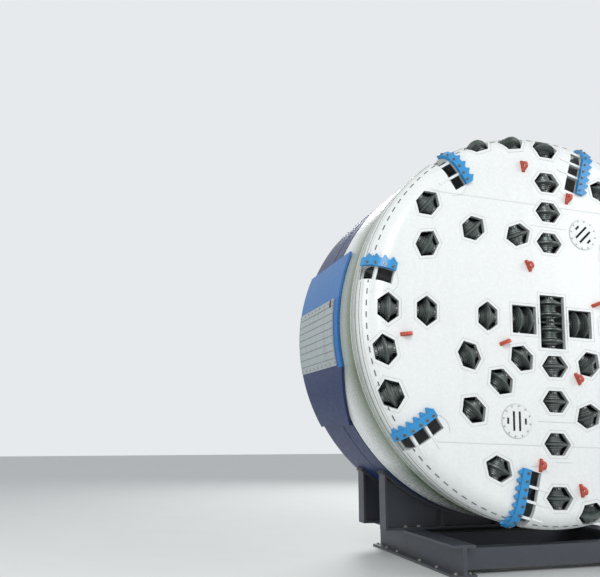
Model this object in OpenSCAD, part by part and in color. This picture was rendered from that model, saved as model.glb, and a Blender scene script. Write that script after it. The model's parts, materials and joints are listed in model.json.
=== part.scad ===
// Cutterhead of a hard rock tunnel boring machine, on the forward shield that carries and turns it.
// The face looks towards -Y, the tunnel axis runs along Y, and Z = 0 is the floor under the cradle.

/* [Cutterhead] */
// Diameter over the rounded edge of the head
head_d = 6300; // [6240:10:6360]
// Radius of the rounded edge between the face and the flank
edge_r = 320; // [300:10:340]
// Thickness of the face plate and the flank wall
plate_t = 70; // [60:5:80]
// Width of the rim behind the rounded edge
rim_w = 60; // [40:5:80]
// How far the flank stands back from the rim
flank_step = 20; // [16:1:24]
// Length of the head from the face to the rear edge of the flank
head_l = 1760; // [1740:10:1780]
// Turn of the head at rest, seen from the front, clockwise negative
head_turn = -2.1; // [-6:0.1:6]
// Width of the raised wear rings on the flank
wear_ring_w = 24; // [16:1:32]
// Height of the raised wear rings
wear_ring_h = 8; // [4:1:10]

/* [Head structure] */
// Depth of the rear plate's front face behind the face
rear_plate_depth = 1440; // [1400:10:1480]
// Thickness of the rear plate
rear_plate_t = 80; // [60:5:100]
// Distance of the inner end of the head's rotating ring from the bulkhead
rotor_clear = 40; // [30:5:60]
// Radius of the face's centre plate, inside the outer segments
centre_plate_r = 2200; // [2195:1:2205]
// Thickness of the webs between the buckets
web_t = 60; // [40:5:80]
// Depth of the webs' front edge behind the face
web_front = 660; // [620:10:700]
// Radius at which the webs' front edge starts to slope back
web_inner_r = 1850; // [1800:10:1900]
// Depth at which the webs' slope ends behind the face
web_slope_end = 1020; // [980:10:1060]

/* [Disc cutters] */
// Diameter of a cutter ring
ring_d = 432; // [424:2:440]
// Width of the ring at its tip
ring_tip_w = 20; // [14:1:26]
// Width of the ring at its root
ring_root_w = 76; // [66:2:86]
// Radial depth of the ring's tapered part
ring_taper = 46; // [40:2:52]
// Diameter of the cutter's hub where it carries the ring
hub_d = 300; // [290:2:310]
// Diameter of the hub's shoulders
shoulder_d = 256; // [246:2:266]
// Diameter of the seal retainers at the hub's ends
retainer_d = 224; // [214:2:234]
// Width of a seal retainer
retainer_w = 26; // [20:1:30]
// How far the ring's seat on the hub reaches beyond the ring on either side
ring_seat_step = 12; // [8:1:16]
// Width of a single cutter's hub over its seal retainers
hub_w = 210; // [200:2:216]
// How far the rings stand out of the face
ring_proud = 90; // [80:5:100]
// Diameter of the cutter's shaft
shaft_d = 130; // [120:2:130]
// Clearance between a shaft and its cutter
shaft_gap = 0.8; // [0.5:0.1:0.9]
// Side of the square blocks at a shaft's ends
shaft_block = 136; // [134:2:142]
// Gap between a cutter's hub and its shaft's end blocks
block_gap = 8; // [6:1:10]

/* [Cutter housings] */
// Length of an opening in the face, along the cutter's path
recess_l = 470; // [460:2:480]
// Width of an opening in the face, along the cutter's shaft
recess_w = 330; // [324:2:336]
// Share of an opening's length that has straight sides
recess_flat = 0.48; // [0.46:0.01:0.5]
// Wall of a cutter housing
housing_wall = 30; // [24:2:34]
// Depth of a cutter housing behind the face
housing_depth = 380; // [360:5:390]
// Height of the seat under a shaft's end block
seat_h = 90; // [70:5:110]
// How far the seats stand out on either side of the blocks
seat_margin = 20; // [14:1:24]
// Width of a twin cutter's hub over its seal retainers
twin_hub_w = 300; // [290:2:306]
// Distance between the two rings of a twin cutter
twin_pitch = 180; // [170:2:190]
// Length of a twin cutter's opening, along its shaft
twin_recess_w = 420; // [412:2:428]
// Length of a twin cutter's opening, along its path
twin_recess_l = 440; // [436:1:448]
// Clear space between a twin cutter's rings and its housing
twin_side_gap = 15; // [12:1:20]
// Wall of the twin cutters' housing
twin_wall = 25; // [20:1:28]
// Distance of the outer twin cutters from the centre
twin_side_r = 505; // [500:1:512]

/* [Muck buckets] */
// Width of a bucket's opening
bucket_w = 220; // [200:5:230]
// How far a bucket's opening runs back on the flank
bucket_depth = 420; // [400:10:440]
// Width of a bucket lip without its teeth
lip_w = 130; // [110:5:140]
// Height of a bucket lip above the face
lip_h = 60; // [50:2:70]
// How far a lip wraps round the edge, in degrees
lip_wrap = 84; // [70:1:88]
// Length of one tooth along the lip
tooth_pitch = 120; // [110:2:130]
// How far the teeth stand out from the lip
tooth_h = 62; // [50:2:70]
// Width of a tooth at its root
tooth_root_w = 104; // [90:2:110]
// Width of a tooth at its tip
tooth_tip_w = 20; // [16:2:30]
// How far the teeth lean outwards
tooth_lean = 18; // [0:2:30]
// Height of the teeth above the face
tooth_top = 46; // [38:1:50]
// Overhang of a lip's cutting edge over its bucket
lip_overhang = 18; // [8:2:24]
// Thickness of the bars across a bucket
bar_t = 40; // [34:2:46]

/* [Lifting lugs and ports] */
// Height of a lifting lug above the face
lug_h = 130; // [120:2:140]
// Length of a lifting lug
lug_l = 180; // [170:2:190]
// Thickness of a lifting lug
lug_t = 40; // [34:2:46]
// Diameter of a lifting lug's hole
lug_hole_d = 70; // [60:2:76]
// Diameter of a port cover
port_d = 500; // [480:5:520]
// Width of the seat that a port cover rests on
port_seat = 50; // [40:5:60]
// Thickness of a port cover above the face
port_t = 12; // [10:1:16]
// Width of the slots in a port cover
slot_w = 38; // [32:2:44]
// Distance between the slots
slot_pitch = 100; // [92:2:108]

/* [Shield skin and pads] */
// Height of the shield's underside over the floor
floor_gap = 620; // [610:5:660]
// Distance from the face to the rear edge of the shield
shield_end = 3400; // [3380:10:3440]
// How far the shield's skin stays inside the head's rounded edge
skin_step = 20; // [12:1:28]
// Thickness of the shield skin
skin_t = 60; // [50:2:70]
// Gap between the head's flank and the shield skin
head_gap = 40; // [30:2:50]
// Width of the rear flange's ring
flange_w = 120; // [110:2:130]
// Thickness of the rear flange
flange_t = 50; // [44:2:56]
// Number of bolts in the rear flange
flange_bolts = 48; // [40:4:56]
// Diameter of the rear flange's bolt holes
flange_hole_d = 33; // [30:1:36]
// Thickness of the side pads over the skin
pad_t = 52; // [48:1:56]
// Gap between the pads' front part and the head's flank
pad_gap = 14; // [12:1:18]
// Distance from the face to the front edge of the side pads
pad_front = 1180; // [1160:5:1200]
// Arc of a side pad, in degrees
pad_arc = 53; // [50:1:56]
// Angle of a side pad's lower edge below the axis
pad_low = 30; // [28:1:32]
// Thickness of the side panels on the pads
panel_t = 16; // [14:1:18]
// Width of the pads' front border before the panels
panel_border = 190; // [170:5:210]
// Arc of a side panel, in degrees
panel_arc = 20; // [18:1:22]
// Angle of a side panel's lower edge below the axis
panel_low = 11.5; // [10:0.5:13]
// Number of grooves along a side panel
groove_count = 8; // [6:1:10]
// Width of the grooves
groove_w = 14; // [10:1:18]
// Depth of the grooves
groove_depth = 8; // [5:1:10]

/* [Bulkhead] */
// Distance from the face to the bulkhead's front
bulkhead_front = 2240; // [2220:5:2260]
// Thickness of the bulkhead
bulkhead_t = 70; // [60:2:80]
// Radius of the bulkhead's central opening
bulkhead_opening_r = 1050; // [1040:5:1060]
// Number of gussets between the bulkhead and the skin
gusset_count = 16; // [8:8:24]
// Thickness of a gusset
gusset_t = 40; // [30:2:50]
// Length of a gusset along the skin
gusset_l = 620; // [580:10:660]
// Height of a gusset on the bulkhead
gusset_h = 420; // [380:10:440]
// How far the bulkhead's inner ring stands out behind it
collar_h = 40; // [30:2:60]
// Width of the bulkhead's inner ring
collar_w = 60; // [50:2:80]
// Width of the stiffening ring inside the skin
stiffener_w = 110; // [100:2:120]
// Thickness of the stiffening ring
stiffener_t = 50; // [40:2:60]

/* [Main bearing and drive] */
// Inner radius of the head's rotating ring
rotor_inner_r = 1250; // [1240:2:1260]
// Outer radius of the head's rotating ring
rotor_outer_r = 1480; // [1470:2:1490]
// Outer radius of the thrust shoulder
thrust_r = 1700; // [1690:2:1710]
// Outer radius of the seal ring in front of the bearing housing
seal_r = 1780; // [1760:5:1800]
// Length of the seal ring
seal_l = 70; // [60:2:80]
// Outer radius of the bearing housing
bearing_r = 1900; // [1880:5:1920]
// Outer radius of the bearing housing's flange on the bulkhead
bearing_flange_r = 2080; // [2060:5:2100]
// Thickness of that flange
bearing_flange_t = 60; // [50:2:70]
// Gap between the rotating ring and the bearing housing
bearing_side_gap = 6; // [5:0.5:9]
// Gap at the thrust face
thrust_gap = 0.8; // [0.5:0.1:0.9]
// Depth of the seal ring's front face behind the face
bearing_front = 1660; // [1640:5:1680]
// Number of drive motors
motor_count = 8; // [6:1:10]
// Radius of the circle that the drive motors stand on
motor_circle_r = 1640; // [1620:5:1660]
// Diameter of a gearbox flange
gearbox_flange_d = 560; // [540:5:580]
// Thickness of a gearbox flange
gearbox_flange_t = 50; // [40:2:60]
// Diameter of a gearbox's first stage
gearbox_d = 480; // [460:5:500]
// Length of a gearbox's first stage
gearbox_l = 220; // [200:5:240]
// Diameter of a gearbox's second stage
gearbox_neck_d = 410; // [396:2:424]
// Length of a gearbox's second stage
gearbox_neck_l = 150; // [130:5:170]
// Diameter of a motor
motor_d = 380; // [360:5:394]
// Length of a motor
motor_l = 400; // [380:5:420]
// Diameter of a motor's end flanges
motor_flange_d = 420; // [408:2:432]
// Thickness of a motor's end flanges
motor_flange_t = 30; // [24:1:36]
// Width of a motor's terminal box
terminal_box_w = 140; // [120:5:160]
// Length of a motor's terminal box
terminal_box_l = 120; // [100:5:140]
// Height of a motor's terminal box
terminal_box_h = 70; // [60:5:80]

/* [Conveyor and cylinder brackets] */
// Width of the conveyor trough at its bottom
trough_w = 760; // [740:10:780]
// Width of the conveyor trough at its top
trough_top_w = 1080; // [1060:10:1100]
// Height of the conveyor trough
trough_h = 400; // [380:10:420]
// Thickness of the conveyor's plates
trough_t = 20; // [16:1:24]
// Depth of the trough's front end behind the face
trough_front = 900; // [880:5:920]
// Height of the trough's bottom below the axis
trough_low = 320; // [300:5:340]
// Side of the beams that carry the trough
trough_beam = 110; // [100:2:120]
// Diameter of the belt's rollers
roller_d = 130; // [120:2:140]
// Distance between the belt's rollers
roller_pitch = 480; // [460:5:500]
// Gap between the rollers and the trough's bottom
roller_lift = 10; // [8:1:20]
// Diameter of the rollers' axles
roller_axle_d = 40; // [36:2:44]
// Number of thrust cylinder brackets
bracket_count = 8; // [4:4:12]
// Distance from the skin's inner face to the brackets' centres
bracket_inset = 430; // [420:5:450]
// Length of a bracket from the bulkhead to its flange's rear face
bracket_l = 210; // [190:5:240]
// Diameter of a bracket's tube
bracket_tube_d = 260; // [240:5:270]
// Diameter of a bracket's flange
bracket_flange_d = 460; // [450:5:480]
// Thickness of a bracket's flange
bracket_flange_t = 50; // [40:2:60]
// Diameter of a bracket's bolt circle
bracket_pcd = 380; // [374:2:386]
// Number of bolts in a bracket's flange
bracket_bolts = 8; // [4:4:12]
// Diameter of a bracket's bolt holes
bracket_hole_d = 30; // [26:1:34]
// Diameter of the centring recess in a bracket's flange
spigot_d = 180; // [160:5:200]
// Depth of the centring recess
spigot_depth = 20; // [10:1:30]
// Thickness of a bracket's ribs
rib_t = 24; // [20:1:30]
// How far the ribs stay inside a bracket's flange and a saddle's strip
rib_inset = 10; // [6:1:14]

/* [Cradle] */
// Height of the base beams
beam_h = 450; // [430:5:460]
// Width of the base beams
beam_w = 360; // [340:5:380]
// Thickness of the base beams' flanges
beam_flange_t = 40; // [30:2:50]
// Thickness of the base beams' webs
beam_web_t = 60; // [50:2:70]
// Distance between the base beams' centres
beam_spread = 3200; // [3160:10:3240]
// Distance from the face to the front of the base beams
beam_front = 200; // [180:5:240]
// Distance from the rear of the base beams to the shield's rear edge
beam_rear = 40; // [30:5:60]
// Distance of the first cross beam from the front of the base beams
cross_first = 200; // [150:10:250]
// Width of a cross beam
cross_w = 240; // [220:5:260]
// Height of a cross beam
cross_h = 300; // [280:5:320]
// Distance from the front of the shield skin to the first saddle
saddle_front = 160; // [140:5:180]
// Distance from the last saddle to the shield's rear edge
saddle_rear = 160; // [140:5:180]
// Width of a saddle's bearing strip along the shield
saddle_l = 260; // [240:5:280]
// Arc of a saddle on either side of the bottom, in degrees
saddle_arc = 42; // [40:1:44]
// Thickness of a saddle's bearing strip
saddle_strip_t = 60; // [50:2:70]
// Thickness of a saddle's web
saddle_web_t = 60; // [50:2:70]
// Number of ribs on a saddle
saddle_ribs = 5; // [3:2:7]
// Gap between pieces that seat on each other
seat_gap = 0.3; // [0.2:0.1:0.5]

/* [Hidden] */
// Single cutters on the face: angle seen from the front, distance from the centre
ANGLE = 0;
RADIUS = 1;
FACE_CUTTERS = [
    [271, 700], [227, 830], [315, 890], [0, 1050], [180, 1140], [270, 1240], [90, 1290],
    [226.5, 1355], [112.5, 1480], [292, 1550], [203, 1590], [45, 1640], [0, 1700], [90, 1810],
    [270, 1880], [134.5, 1940], [225.5, 2000], [325, 2060], [180, 2160], [0, 2240], [90, 2320],
    [154, 2390], [246, 2480], [65.5, 2520], [22.5, 2570], [270, 2670], [141.5, 2730], [180, 2780]
];
// Cutters on the rounded edge: angle seen from the front, tilt towards the rock wall
TILT = 1;
GAUGE_CUTTERS = [
    [192.5, 10], [330, 14], [90, 18], [281, 24], [205, 30], [52, 36], [101.5, 42], [5, 50], [113, 56]
];
// Twin cutters at the centre: angle, distance from the centre
TWIN_CUTTERS = [
    [90, twin_recess_w / 2], [270, twin_recess_w / 2], [180, twin_side_r], [0, twin_side_r]
];
// Buckets and their lips: angle seen from the front, distance of their inner ends from the centre
BUCKETS = [
    [36, 2540], [75, 2260], [124, 2560], [167, 2740], [216, 2540], [256, 2320], [304, 2560], [347, 2740]
];
// Distances of the bars from the centre; a bucket has those that lie outside its inner end
BAR_RADII = [2530, 2745, 2980];
// Lifting lugs: angle, distance from the centre
LUGS = [
    [23, 900], [204, 940], [115, 960], [295, 960], [80, 2120], [262, 2220], [100, 2580],
    [278.5, 2580], [8.5, 2520], [188.5, 2520]
];
// Port covers: angle, distance from the centre, direction of the slots seen from the front
SLOTS = 2;
PORTS = [[67, 1630, 135], [246, 1710, 0]];
// Lengths of the slots, from one side of a port cover to the other
SLOT_LENGTHS = [90, 290, 290, 90];
// Raised rings on the flank: distances from the face to their front edges
WEAR_RINGS = [480, 640];

head_r = head_d / 2;
face_r = head_r - edge_r;
// The tables' distances on the face are given for a flat face with this radius
TABLE_FACE_R = 2830;
flank_r = head_r - flank_step;
inner_r = flank_r - plate_t;
skin_r = head_r - skin_step;
skin_inner_r = skin_r - skin_t;
axis_h = skin_r + floor_gap;
bracket_circle_r = skin_inner_r - bracket_inset;
skin_front = head_l + head_gap;
pad_r = skin_r + seat_gap + pad_t;
ring_r = ring_d / 2;
// The webs' outer corners stay just inside the flank's wall
web_reach = sqrt(pow(inner_r - 1, 2) - pow(web_t, 2));
shoulder_front = rear_plate_depth + rear_plate_t;
rotor_end = bulkhead_front - rotor_clear;
bulkhead_rear = bulkhead_front + bulkhead_t;
stiffener_front = bulkhead_rear + gusset_l + seat_gap;
frame_front = bulkhead_rear + collar_h;
frame_rear = shield_end - flange_t;
gearbox_end = bulkhead_rear + gearbox_flange_t + gearbox_l + gearbox_neck_l;
// The foremost points set where the face lies, so that the model is centred on Y
front_reach = max(lug_h, ring_proud);
face_y = front_reach - (front_reach + shield_end) / 2;
// How far a hexagon's points move out for each millimetre that its sides do
point_growth = 1.2;
// Overlap of cutting tools beyond the faces that they cut
cut = 20;
// Overlap of welded plates with what they are welded to
weld = 4;
round_fn = 180;
small_fn = 64;

// A distance from the centre of the face, from a table
function laid(r) = r * face_r / TABLE_FACE_R;
// Length of a lip's flat part, before it bends round the edge
function lip_flat_l(b) = face_r - laid(b[RADIUS]);
function two_digits(i) = str(i < 10 ? "0" : "", i);
FACE_NAMES = [for (i = [1 : len(FACE_CUTTERS)]) str("cutter_", two_digits(i))];
GAUGE_NAMES = [for (i = [1 : len(GAUGE_CUTTERS)]) str("gauge_cutter_", i)];
TWIN_NAMES = [for (i = [1 : len(TWIN_CUTTERS)]) str("centre_cutter_", i)];

// Places its children in the machine's axes: x to the right seen from the front, y up, z forward
module machine() {
    translate([0, face_y, axis_h]) rotate([90, 0, 0]) children();
}

// Places its children in the head's axes, which turn with the head
module head() {
    machine() rotate([0, 0, head_turn]) children();
}

// Repeats its children round the axis
module around(count, first = 0) {
    for (i = [0 : count - 1]) rotate([0, 0, first + i * 360 / count]) children();
}

// A ring about the axis between two depths behind the face
module ring(from, to, outer, inner, fn = round_fn) {
    translate([0, 0, -to]) difference() {
        cylinder(h = to - from, r = outer, $fn = fn);
        translate([0, 0, -cut]) cylinder(h = to - from + 2 * cut, r = inner, $fn = fn);
    }
}

// Half section of a ring, for sectors that don't go all the way round
module ring_section(from, to, outer, inner) {
    translate([inner, -to]) square([outer - inner, to - from]);
}

// Origin at a cutter's centre, x along its shaft, z towards the rock
module at_face_cutter(c) {
    rotate([0, 0, c[ANGLE]]) translate([laid(c[RADIUS]), 0, ring_proud - ring_r]) children();
}

module at_gauge_cutter(c) {
    reach = edge_r + ring_proud - ring_r;
    rotate([0, 0, c[ANGLE]])
        translate([face_r + reach * sin(c[TILT]), 0, reach * cos(c[TILT]) - edge_r])
            rotate([0, c[TILT], 0]) children();
}

module at_centre_cutter(c) {
    rotate([0, 0, c[ANGLE]]) translate([c[RADIUS], 0, ring_proud - ring_r]) children();
}

module at_single_cutters() {
    for (c = FACE_CUTTERS) at_face_cutter(c) children();
    for (c = GAUGE_CUTTERS) at_gauge_cutter(c) children();
}

module at_twin_cutters() {
    for (c = TWIN_CUTTERS) at_centre_cutter(c) children();
}

// Half section of the solid head, inset from its outer surface
module head_section(inset, depth) {
    edge_w = inset > 0 ? flank_r - face_r - inset : edge_r;
    translate([0, -depth]) square([face_r, depth - inset]);
    translate([0, -depth]) square([flank_r - inset, depth - edge_r]);
    translate([face_r, -edge_r]) intersection() {
        circle(edge_r - inset, $fn = 96);
        square([edge_w, edge_r]);
    }
}

// Raised parts of the flank: the rim and the wear rings
module flank_rings_section() {
    translate([flank_r - weld, -edge_r - rim_w]) square([head_r - flank_r + weld, rim_w]);
    for (d = WEAR_RINGS) translate([flank_r - weld, -d - wear_ring_w])
        square([wear_ring_h + weld, wear_ring_w]);
}

// A hexagon with its points along y
module pointed_hexagon(w, l) {
    flat = l * recess_flat / 2;
    polygon([[w / 2, -flat], [w / 2, flat], [0, l / 2], [-w / 2, flat], [-w / 2, -flat], [0, -l / 2]]);
}

// The cavity of a single cutter, as deep as its housing
module recess(grow = 0, extra = 0) {
    front = ring_r + edge_r;
    back = housing_depth - ring_r + ring_proud + extra;
    translate([0, 0, -back]) linear_extrude(front + back)
        pointed_hexagon(recess_w + 2 * grow, recess_l + 2 * grow * point_growth);
}

// The cut between two outer segments, from the centre plate through a bucket's opening and the flank
module segment_joint() {
    translate([centre_plate_r - cut, (lip_w + bucket_w) / 2 - lip_overhang, -head_l - cut])
        cube([head_r - centre_plate_r + 2 * cut, seat_gap, head_l + 2 * cut]);
}

module bucket_opening(b) {
    translate([laid(b[RADIUS]), lip_w / 2 - lip_overhang, -bucket_depth])
        cube([head_r, bucket_w, bucket_depth + lip_h]);
}

// A round centre plate, and outer segments with the rounded edge and the flank
module head_shell() {
    color("white") head() difference() {
        union() {
            translate([0, 0, -plate_t]) cylinder(h = plate_t, r = centre_plate_r - seat_gap, $fn = round_fn);
            difference() {
                rotate_extrude($fn = round_fn) {
                    difference() {
                        head_section(0, head_l);
                        head_section(plate_t, head_l + cut);
                        translate([0, -head_l]) square([centre_plate_r, head_l + cut]);
                    }
                    flank_rings_section();
                }
                for (b = BUCKETS) rotate([0, 0, b[ANGLE]]) segment_joint();
            }
        }
        at_single_cutters() recess();
        at_twin_cutters() cube([twin_recess_w, twin_recess_l, 2 * ring_d], center = true);
        for (b = BUCKETS) rotate([0, 0, b[ANGLE]]) bucket_opening(b);
        for (p = PORTS) rotate([0, 0, p[ANGLE]]) translate([laid(p[RADIUS]), 0, -plate_t - cut])
            cylinder(h = plate_t + 2 * cut, r = port_d / 2 - port_seat, $fn = small_fn);
    }
}

// The seats under a shaft's two end blocks
module shaft_seats(inner_w, hub) {
    block_l = inner_w / 2 - hub / 2 - block_gap;
    for (side = [-1, 1]) translate([side * (inner_w / 2 - block_l / 2 + weld / 2), 0, -shaft_block / 2 - seat_h / 2])
        cube([block_l + weld, shaft_block + 2 * seat_margin, seat_h], center = true);
}

module cutter_housings() {
    twin_inner_w = twin_recess_w - twin_wall;
    twin_inner_l = ring_d + 2 * twin_side_gap;
    color("dimgray") head() {
        intersection() {
            at_single_cutters() {
                difference() {
                    recess(housing_wall);
                    recess(0, cut);
                }
                shaft_seats(recess_w, hub_w);
            }
            rotate_extrude($fn = round_fn) head_section(plate_t + seat_gap, head_l);
        }
        difference() {
            at_twin_cutters() translate([0, 0, ring_r - ring_proud - plate_t - housing_depth / 2])
                cube([twin_recess_w + 2 * twin_wall, twin_inner_l + 2 * twin_wall, housing_depth], center = true);
            at_twin_cutters() cube([twin_inner_w, twin_inner_l, 4 * ring_d], center = true);
        }
        at_twin_cutters() shaft_seats(twin_inner_w, twin_hub_w);
    }
}

// A fixed shaft with the square blocks that clamp its ends
module cutter_shaft(inner_w, hub) {
    block_l = inner_w / 2 - hub / 2 - block_gap;
    rotate([0, 90, 0]) translate([0, 0, -inner_w / 2]) cylinder(h = inner_w, r = shaft_d / 2, $fn = small_fn);
    for (side = [-1, 1]) translate([side * (inner_w - block_l) / 2, 0, 0])
        cube([block_l, shaft_block, shaft_block], center = true);
}

module cutter_shafts() {
    color("gray") head() {
        at_single_cutters() cutter_shaft(recess_w, hub_w);
        at_twin_cutters() cutter_shaft(twin_recess_w - twin_wall, twin_hub_w);
    }
}

// Half section of one cutter ring with its tapered tip
module cutter_ring_section(at) {
    taper_r = ring_r - ring_taper;
    root_r = shoulder_d / 2 - weld;
    translate([0, at]) polygon([
        [root_r, -ring_root_w / 2],
        [taper_r, -ring_root_w / 2],
        [ring_r, -ring_tip_w / 2],
        [ring_r, ring_tip_w / 2],
        [taper_r, ring_root_w / 2],
        [root_r, ring_root_w / 2]
    ]);
}

// A disc cutter: seal retainers, hub shoulders, ring seats and rings, about its shaft's axis
module disc_cutter(width, rings) {
    bore = shaft_d / 2 + shaft_gap;
    seat_w = ring_root_w + 2 * ring_seat_step;
    rotate([0, 90, 0]) rotate_extrude($fn = 96) {
        translate([bore, -width / 2]) square([retainer_d / 2 - bore, width]);
        translate([bore, -width / 2 + retainer_w]) square([shoulder_d / 2 - bore, width - 2 * retainer_w]);
        for (at = rings) {
            translate([bore, at - seat_w / 2]) square([hub_d / 2 - bore, seat_w]);
            cutter_ring_section(at);
        }
    }
}

module face_cutter(i) {
    color("darkslategray") head() at_face_cutter(FACE_CUTTERS[i]) disc_cutter(hub_w, [0]);
}

module gauge_cutter(i) {
    color("darkslategray") head() at_gauge_cutter(GAUGE_CUTTERS[i]) disc_cutter(hub_w, [0]);
}

module centre_cutter(i) {
    color("darkslategray") head() at_centre_cutter(TWIN_CUTTERS[i])
        disc_cutter(twin_hub_w, [-twin_pitch / 2, twin_pitch / 2]);
}

// Section of a bucket lip along its length: flat on the face, then round the edge
module lip_section(flat_l) {
    far = 2 * (edge_r + lip_h);
    translate([face_r - flat_l, seat_gap]) square([flat_l, lip_h - seat_gap]);
    translate([face_r, -edge_r]) difference() {
        intersection() {
            circle(edge_r + lip_h, $fn = 96);
            polygon([[0, 0], [0, far], [far, far], [far * sin(lip_wrap), far * cos(lip_wrap)]]);
        }
        circle(edge_r + seat_gap, $fn = 96);
    }
}

// Places its children at a distance along the lip, z standing out of the head
module along_lip(s, flat_l) {
    turn = max(0, (s - flat_l) / edge_r * 180 / PI);
    translate([face_r, 0, -edge_r]) rotate([0, turn, 0]) translate([min(0, s - flat_l), 0, edge_r]) children();
}

module lip_tooth() {
    translate([0, -lip_w / 2, weld]) linear_extrude(tooth_top - weld) polygon([
        [-tooth_root_w / 2, weld],
        [tooth_lean - tooth_tip_w / 2, -tooth_h],
        [tooth_lean + tooth_tip_w / 2, -tooth_h],
        [tooth_root_w / 2, weld]
    ]);
}

module bucket_lip(flat_l) {
    lip_l = flat_l + edge_r * lip_wrap * PI / 180;
    rotate([90, 0, 0]) translate([0, 0, -lip_w / 2]) linear_extrude(lip_w) lip_section(flat_l);
    for (s = [tooth_pitch / 2 : tooth_pitch : lip_l - tooth_pitch / 2]) along_lip(s, flat_l) lip_tooth();
}

module bucket_lips() {
    color("dodgerblue") head() for (b = BUCKETS) rotate([0, 0, b[ANGLE]]) bucket_lip(lip_flat_l(b));
}

// How far the head's surface lies behind the face's plane at a radius
function edge_drop(r) = edge_r - sqrt(pow(edge_r, 2) - pow(max(0, r - face_r), 2));

module bucket_bars() {
    color("white") head() for (b = BUCKETS, r = BAR_RADII) if (r > b[RADIUS] + bar_t)
        rotate([0, 0, b[ANGLE]])
            translate([laid(r), lip_w / 2 - lip_overhang, -edge_drop(laid(r) + bar_t) - plate_t])
                cube([bar_t, bucket_w, plate_t - weld]);
}

module lifting_lugs() {
    eye_r = lug_l * 0.34;
    color("firebrick") head() for (p = LUGS) rotate([0, 0, p[ANGLE]])
        translate([laid(p[RADIUS]), lug_t / 2, 0]) rotate([90, 0, 0]) linear_extrude(lug_t) difference() {
            union() {
                polygon([[-lug_l / 2, 0], [lug_l / 2, 0], [eye_r, lug_h - eye_r], [-eye_r, lug_h - eye_r]]);
                translate([0, lug_h - eye_r]) circle(eye_r, $fn = small_fn);
            }
            translate([0, lug_h - eye_r]) circle(lug_hole_d / 2, $fn = small_fn);
        }
}

module port_covers() {
    slots = len(SLOT_LENGTHS);
    color("white") head() for (p = PORTS) rotate([0, 0, p[ANGLE]]) translate([laid(p[RADIUS]), 0, 0])
        difference() {
            cylinder(h = port_t, r = port_d / 2, $fn = small_fn);
            rotate([0, 0, p[SLOTS] - p[ANGLE]]) for (i = [0 : slots - 1])
                translate([(i - (slots - 1) / 2) * slot_pitch, 0, port_t / 2])
                    cube([slot_w, SLOT_LENGTHS[i], port_t + 2 * cut], center = true);
        }
}

module head_rear() {
    color("whitesmoke") head() {
        ring(rear_plate_depth, shoulder_front, inner_r - seat_gap, rotor_inner_r);
        ring(shoulder_front - weld, bearing_front - thrust_gap, thrust_r, rotor_inner_r);
        ring(bearing_front - thrust_gap - weld, rotor_end, rotor_outer_r, rotor_inner_r);
        for (b = BUCKETS) rotate([0, 0, b[ANGLE]]) rotate([90, 0, 0]) linear_extrude(web_t) polygon([
            [rotor_inner_r + cut, -rear_plate_depth + seat_gap],
            [web_reach, -rear_plate_depth + seat_gap],
            [web_reach, -web_front],
            [web_inner_r, -web_front],
            [rotor_inner_r + cut, -web_slope_end]
        ]);
    }
}

module shield_skin() {
    color("royalblue") machine() difference() {
        union() {
            ring(skin_front, shield_end, skin_r, skin_inner_r);
            ring(shield_end - flange_t, shield_end, skin_r - weld, skin_inner_r - flange_w);
            ring(stiffener_front, stiffener_front + stiffener_t, skin_r - weld, skin_inner_r - stiffener_w);
        }
        around(flange_bolts) translate([skin_inner_r - flange_w / 2, 0, -shield_end - cut])
            cylinder(h = flange_t + 2 * cut, r = flange_hole_d / 2, $fn = 24);
    }
}

module side_pads() {
    front_inner = flank_r + pad_gap;
    color("mediumblue") machine() for (low = [-pad_low, 180 + pad_low - pad_arc]) rotate([0, 0, low])
        rotate_extrude(angle = pad_arc, $fn = round_fn) {
            ring_section(skin_front, shield_end, pad_r, skin_r + seat_gap);
            ring_section(pad_front, skin_front + weld, pad_r, max(front_inner, skin_r + seat_gap));
        }
}

module side_panels() {
    outer = pad_r + seat_gap + panel_t;
    step = panel_arc / (groove_count + 1);
    color("white") machine() for (low = [-panel_low, 180 + panel_low - panel_arc]) rotate([0, 0, low])
        difference() {
            rotate_extrude(angle = panel_arc, $fn = round_fn)
                ring_section(pad_front + panel_border, shield_end - beam_rear, outer, pad_r + seat_gap);
            for (i = [1 : groove_count]) rotate([0, 0, i * step])
                translate([outer - groove_depth, -groove_w / 2, -shield_end])
                    cube([2 * groove_depth, groove_w, shield_end - pad_front]);
        }
}

module bulkhead() {
    color("lightgray") machine() {
        outer = skin_inner_r - seat_gap;
        ring(bulkhead_front, bulkhead_rear, outer, bulkhead_opening_r);
        gusset_r = outer - seat_gap;
        around(gusset_count, 180 / gusset_count) rotate([90, 0, 0]) translate([0, 0, -gusset_t / 2])
            linear_extrude(gusset_t) polygon([
                [gusset_r - gusset_h, -bulkhead_rear - seat_gap],
                [gusset_r, -bulkhead_rear - seat_gap],
                [gusset_r, -bulkhead_rear - gusset_l],
                [gusset_r - gusset_h / 4, -bulkhead_rear - gusset_l]
            ]);
        ring(bulkhead_rear - weld, bulkhead_rear + collar_h, bulkhead_opening_r + collar_w, bulkhead_opening_r);
    }
}

module bearing_housing() {
    bore = rotor_outer_r + bearing_side_gap;
    color("silver") machine() {
        ring(bearing_front, bearing_front + seal_l, seal_r, bore);
        ring(bearing_front + seal_l - weld, bulkhead_front, bearing_r, bore);
        ring(bulkhead_front - bearing_flange_t, bulkhead_front, bearing_flange_r, bore);
    }
}

module gearboxes() {
    color("gray") machine() around(motor_count, 180 / motor_count)
        translate([motor_circle_r, 0, -gearbox_end]) {
            cylinder(h = gearbox_neck_l + weld, r = gearbox_neck_d / 2, $fn = small_fn);
            translate([0, 0, gearbox_neck_l]) cylinder(h = gearbox_l + weld, r = gearbox_d / 2, $fn = small_fn);
            translate([0, 0, gearbox_neck_l + gearbox_l])
                cylinder(h = gearbox_flange_t, r = gearbox_flange_d / 2, $fn = small_fn);
        }
}

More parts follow.
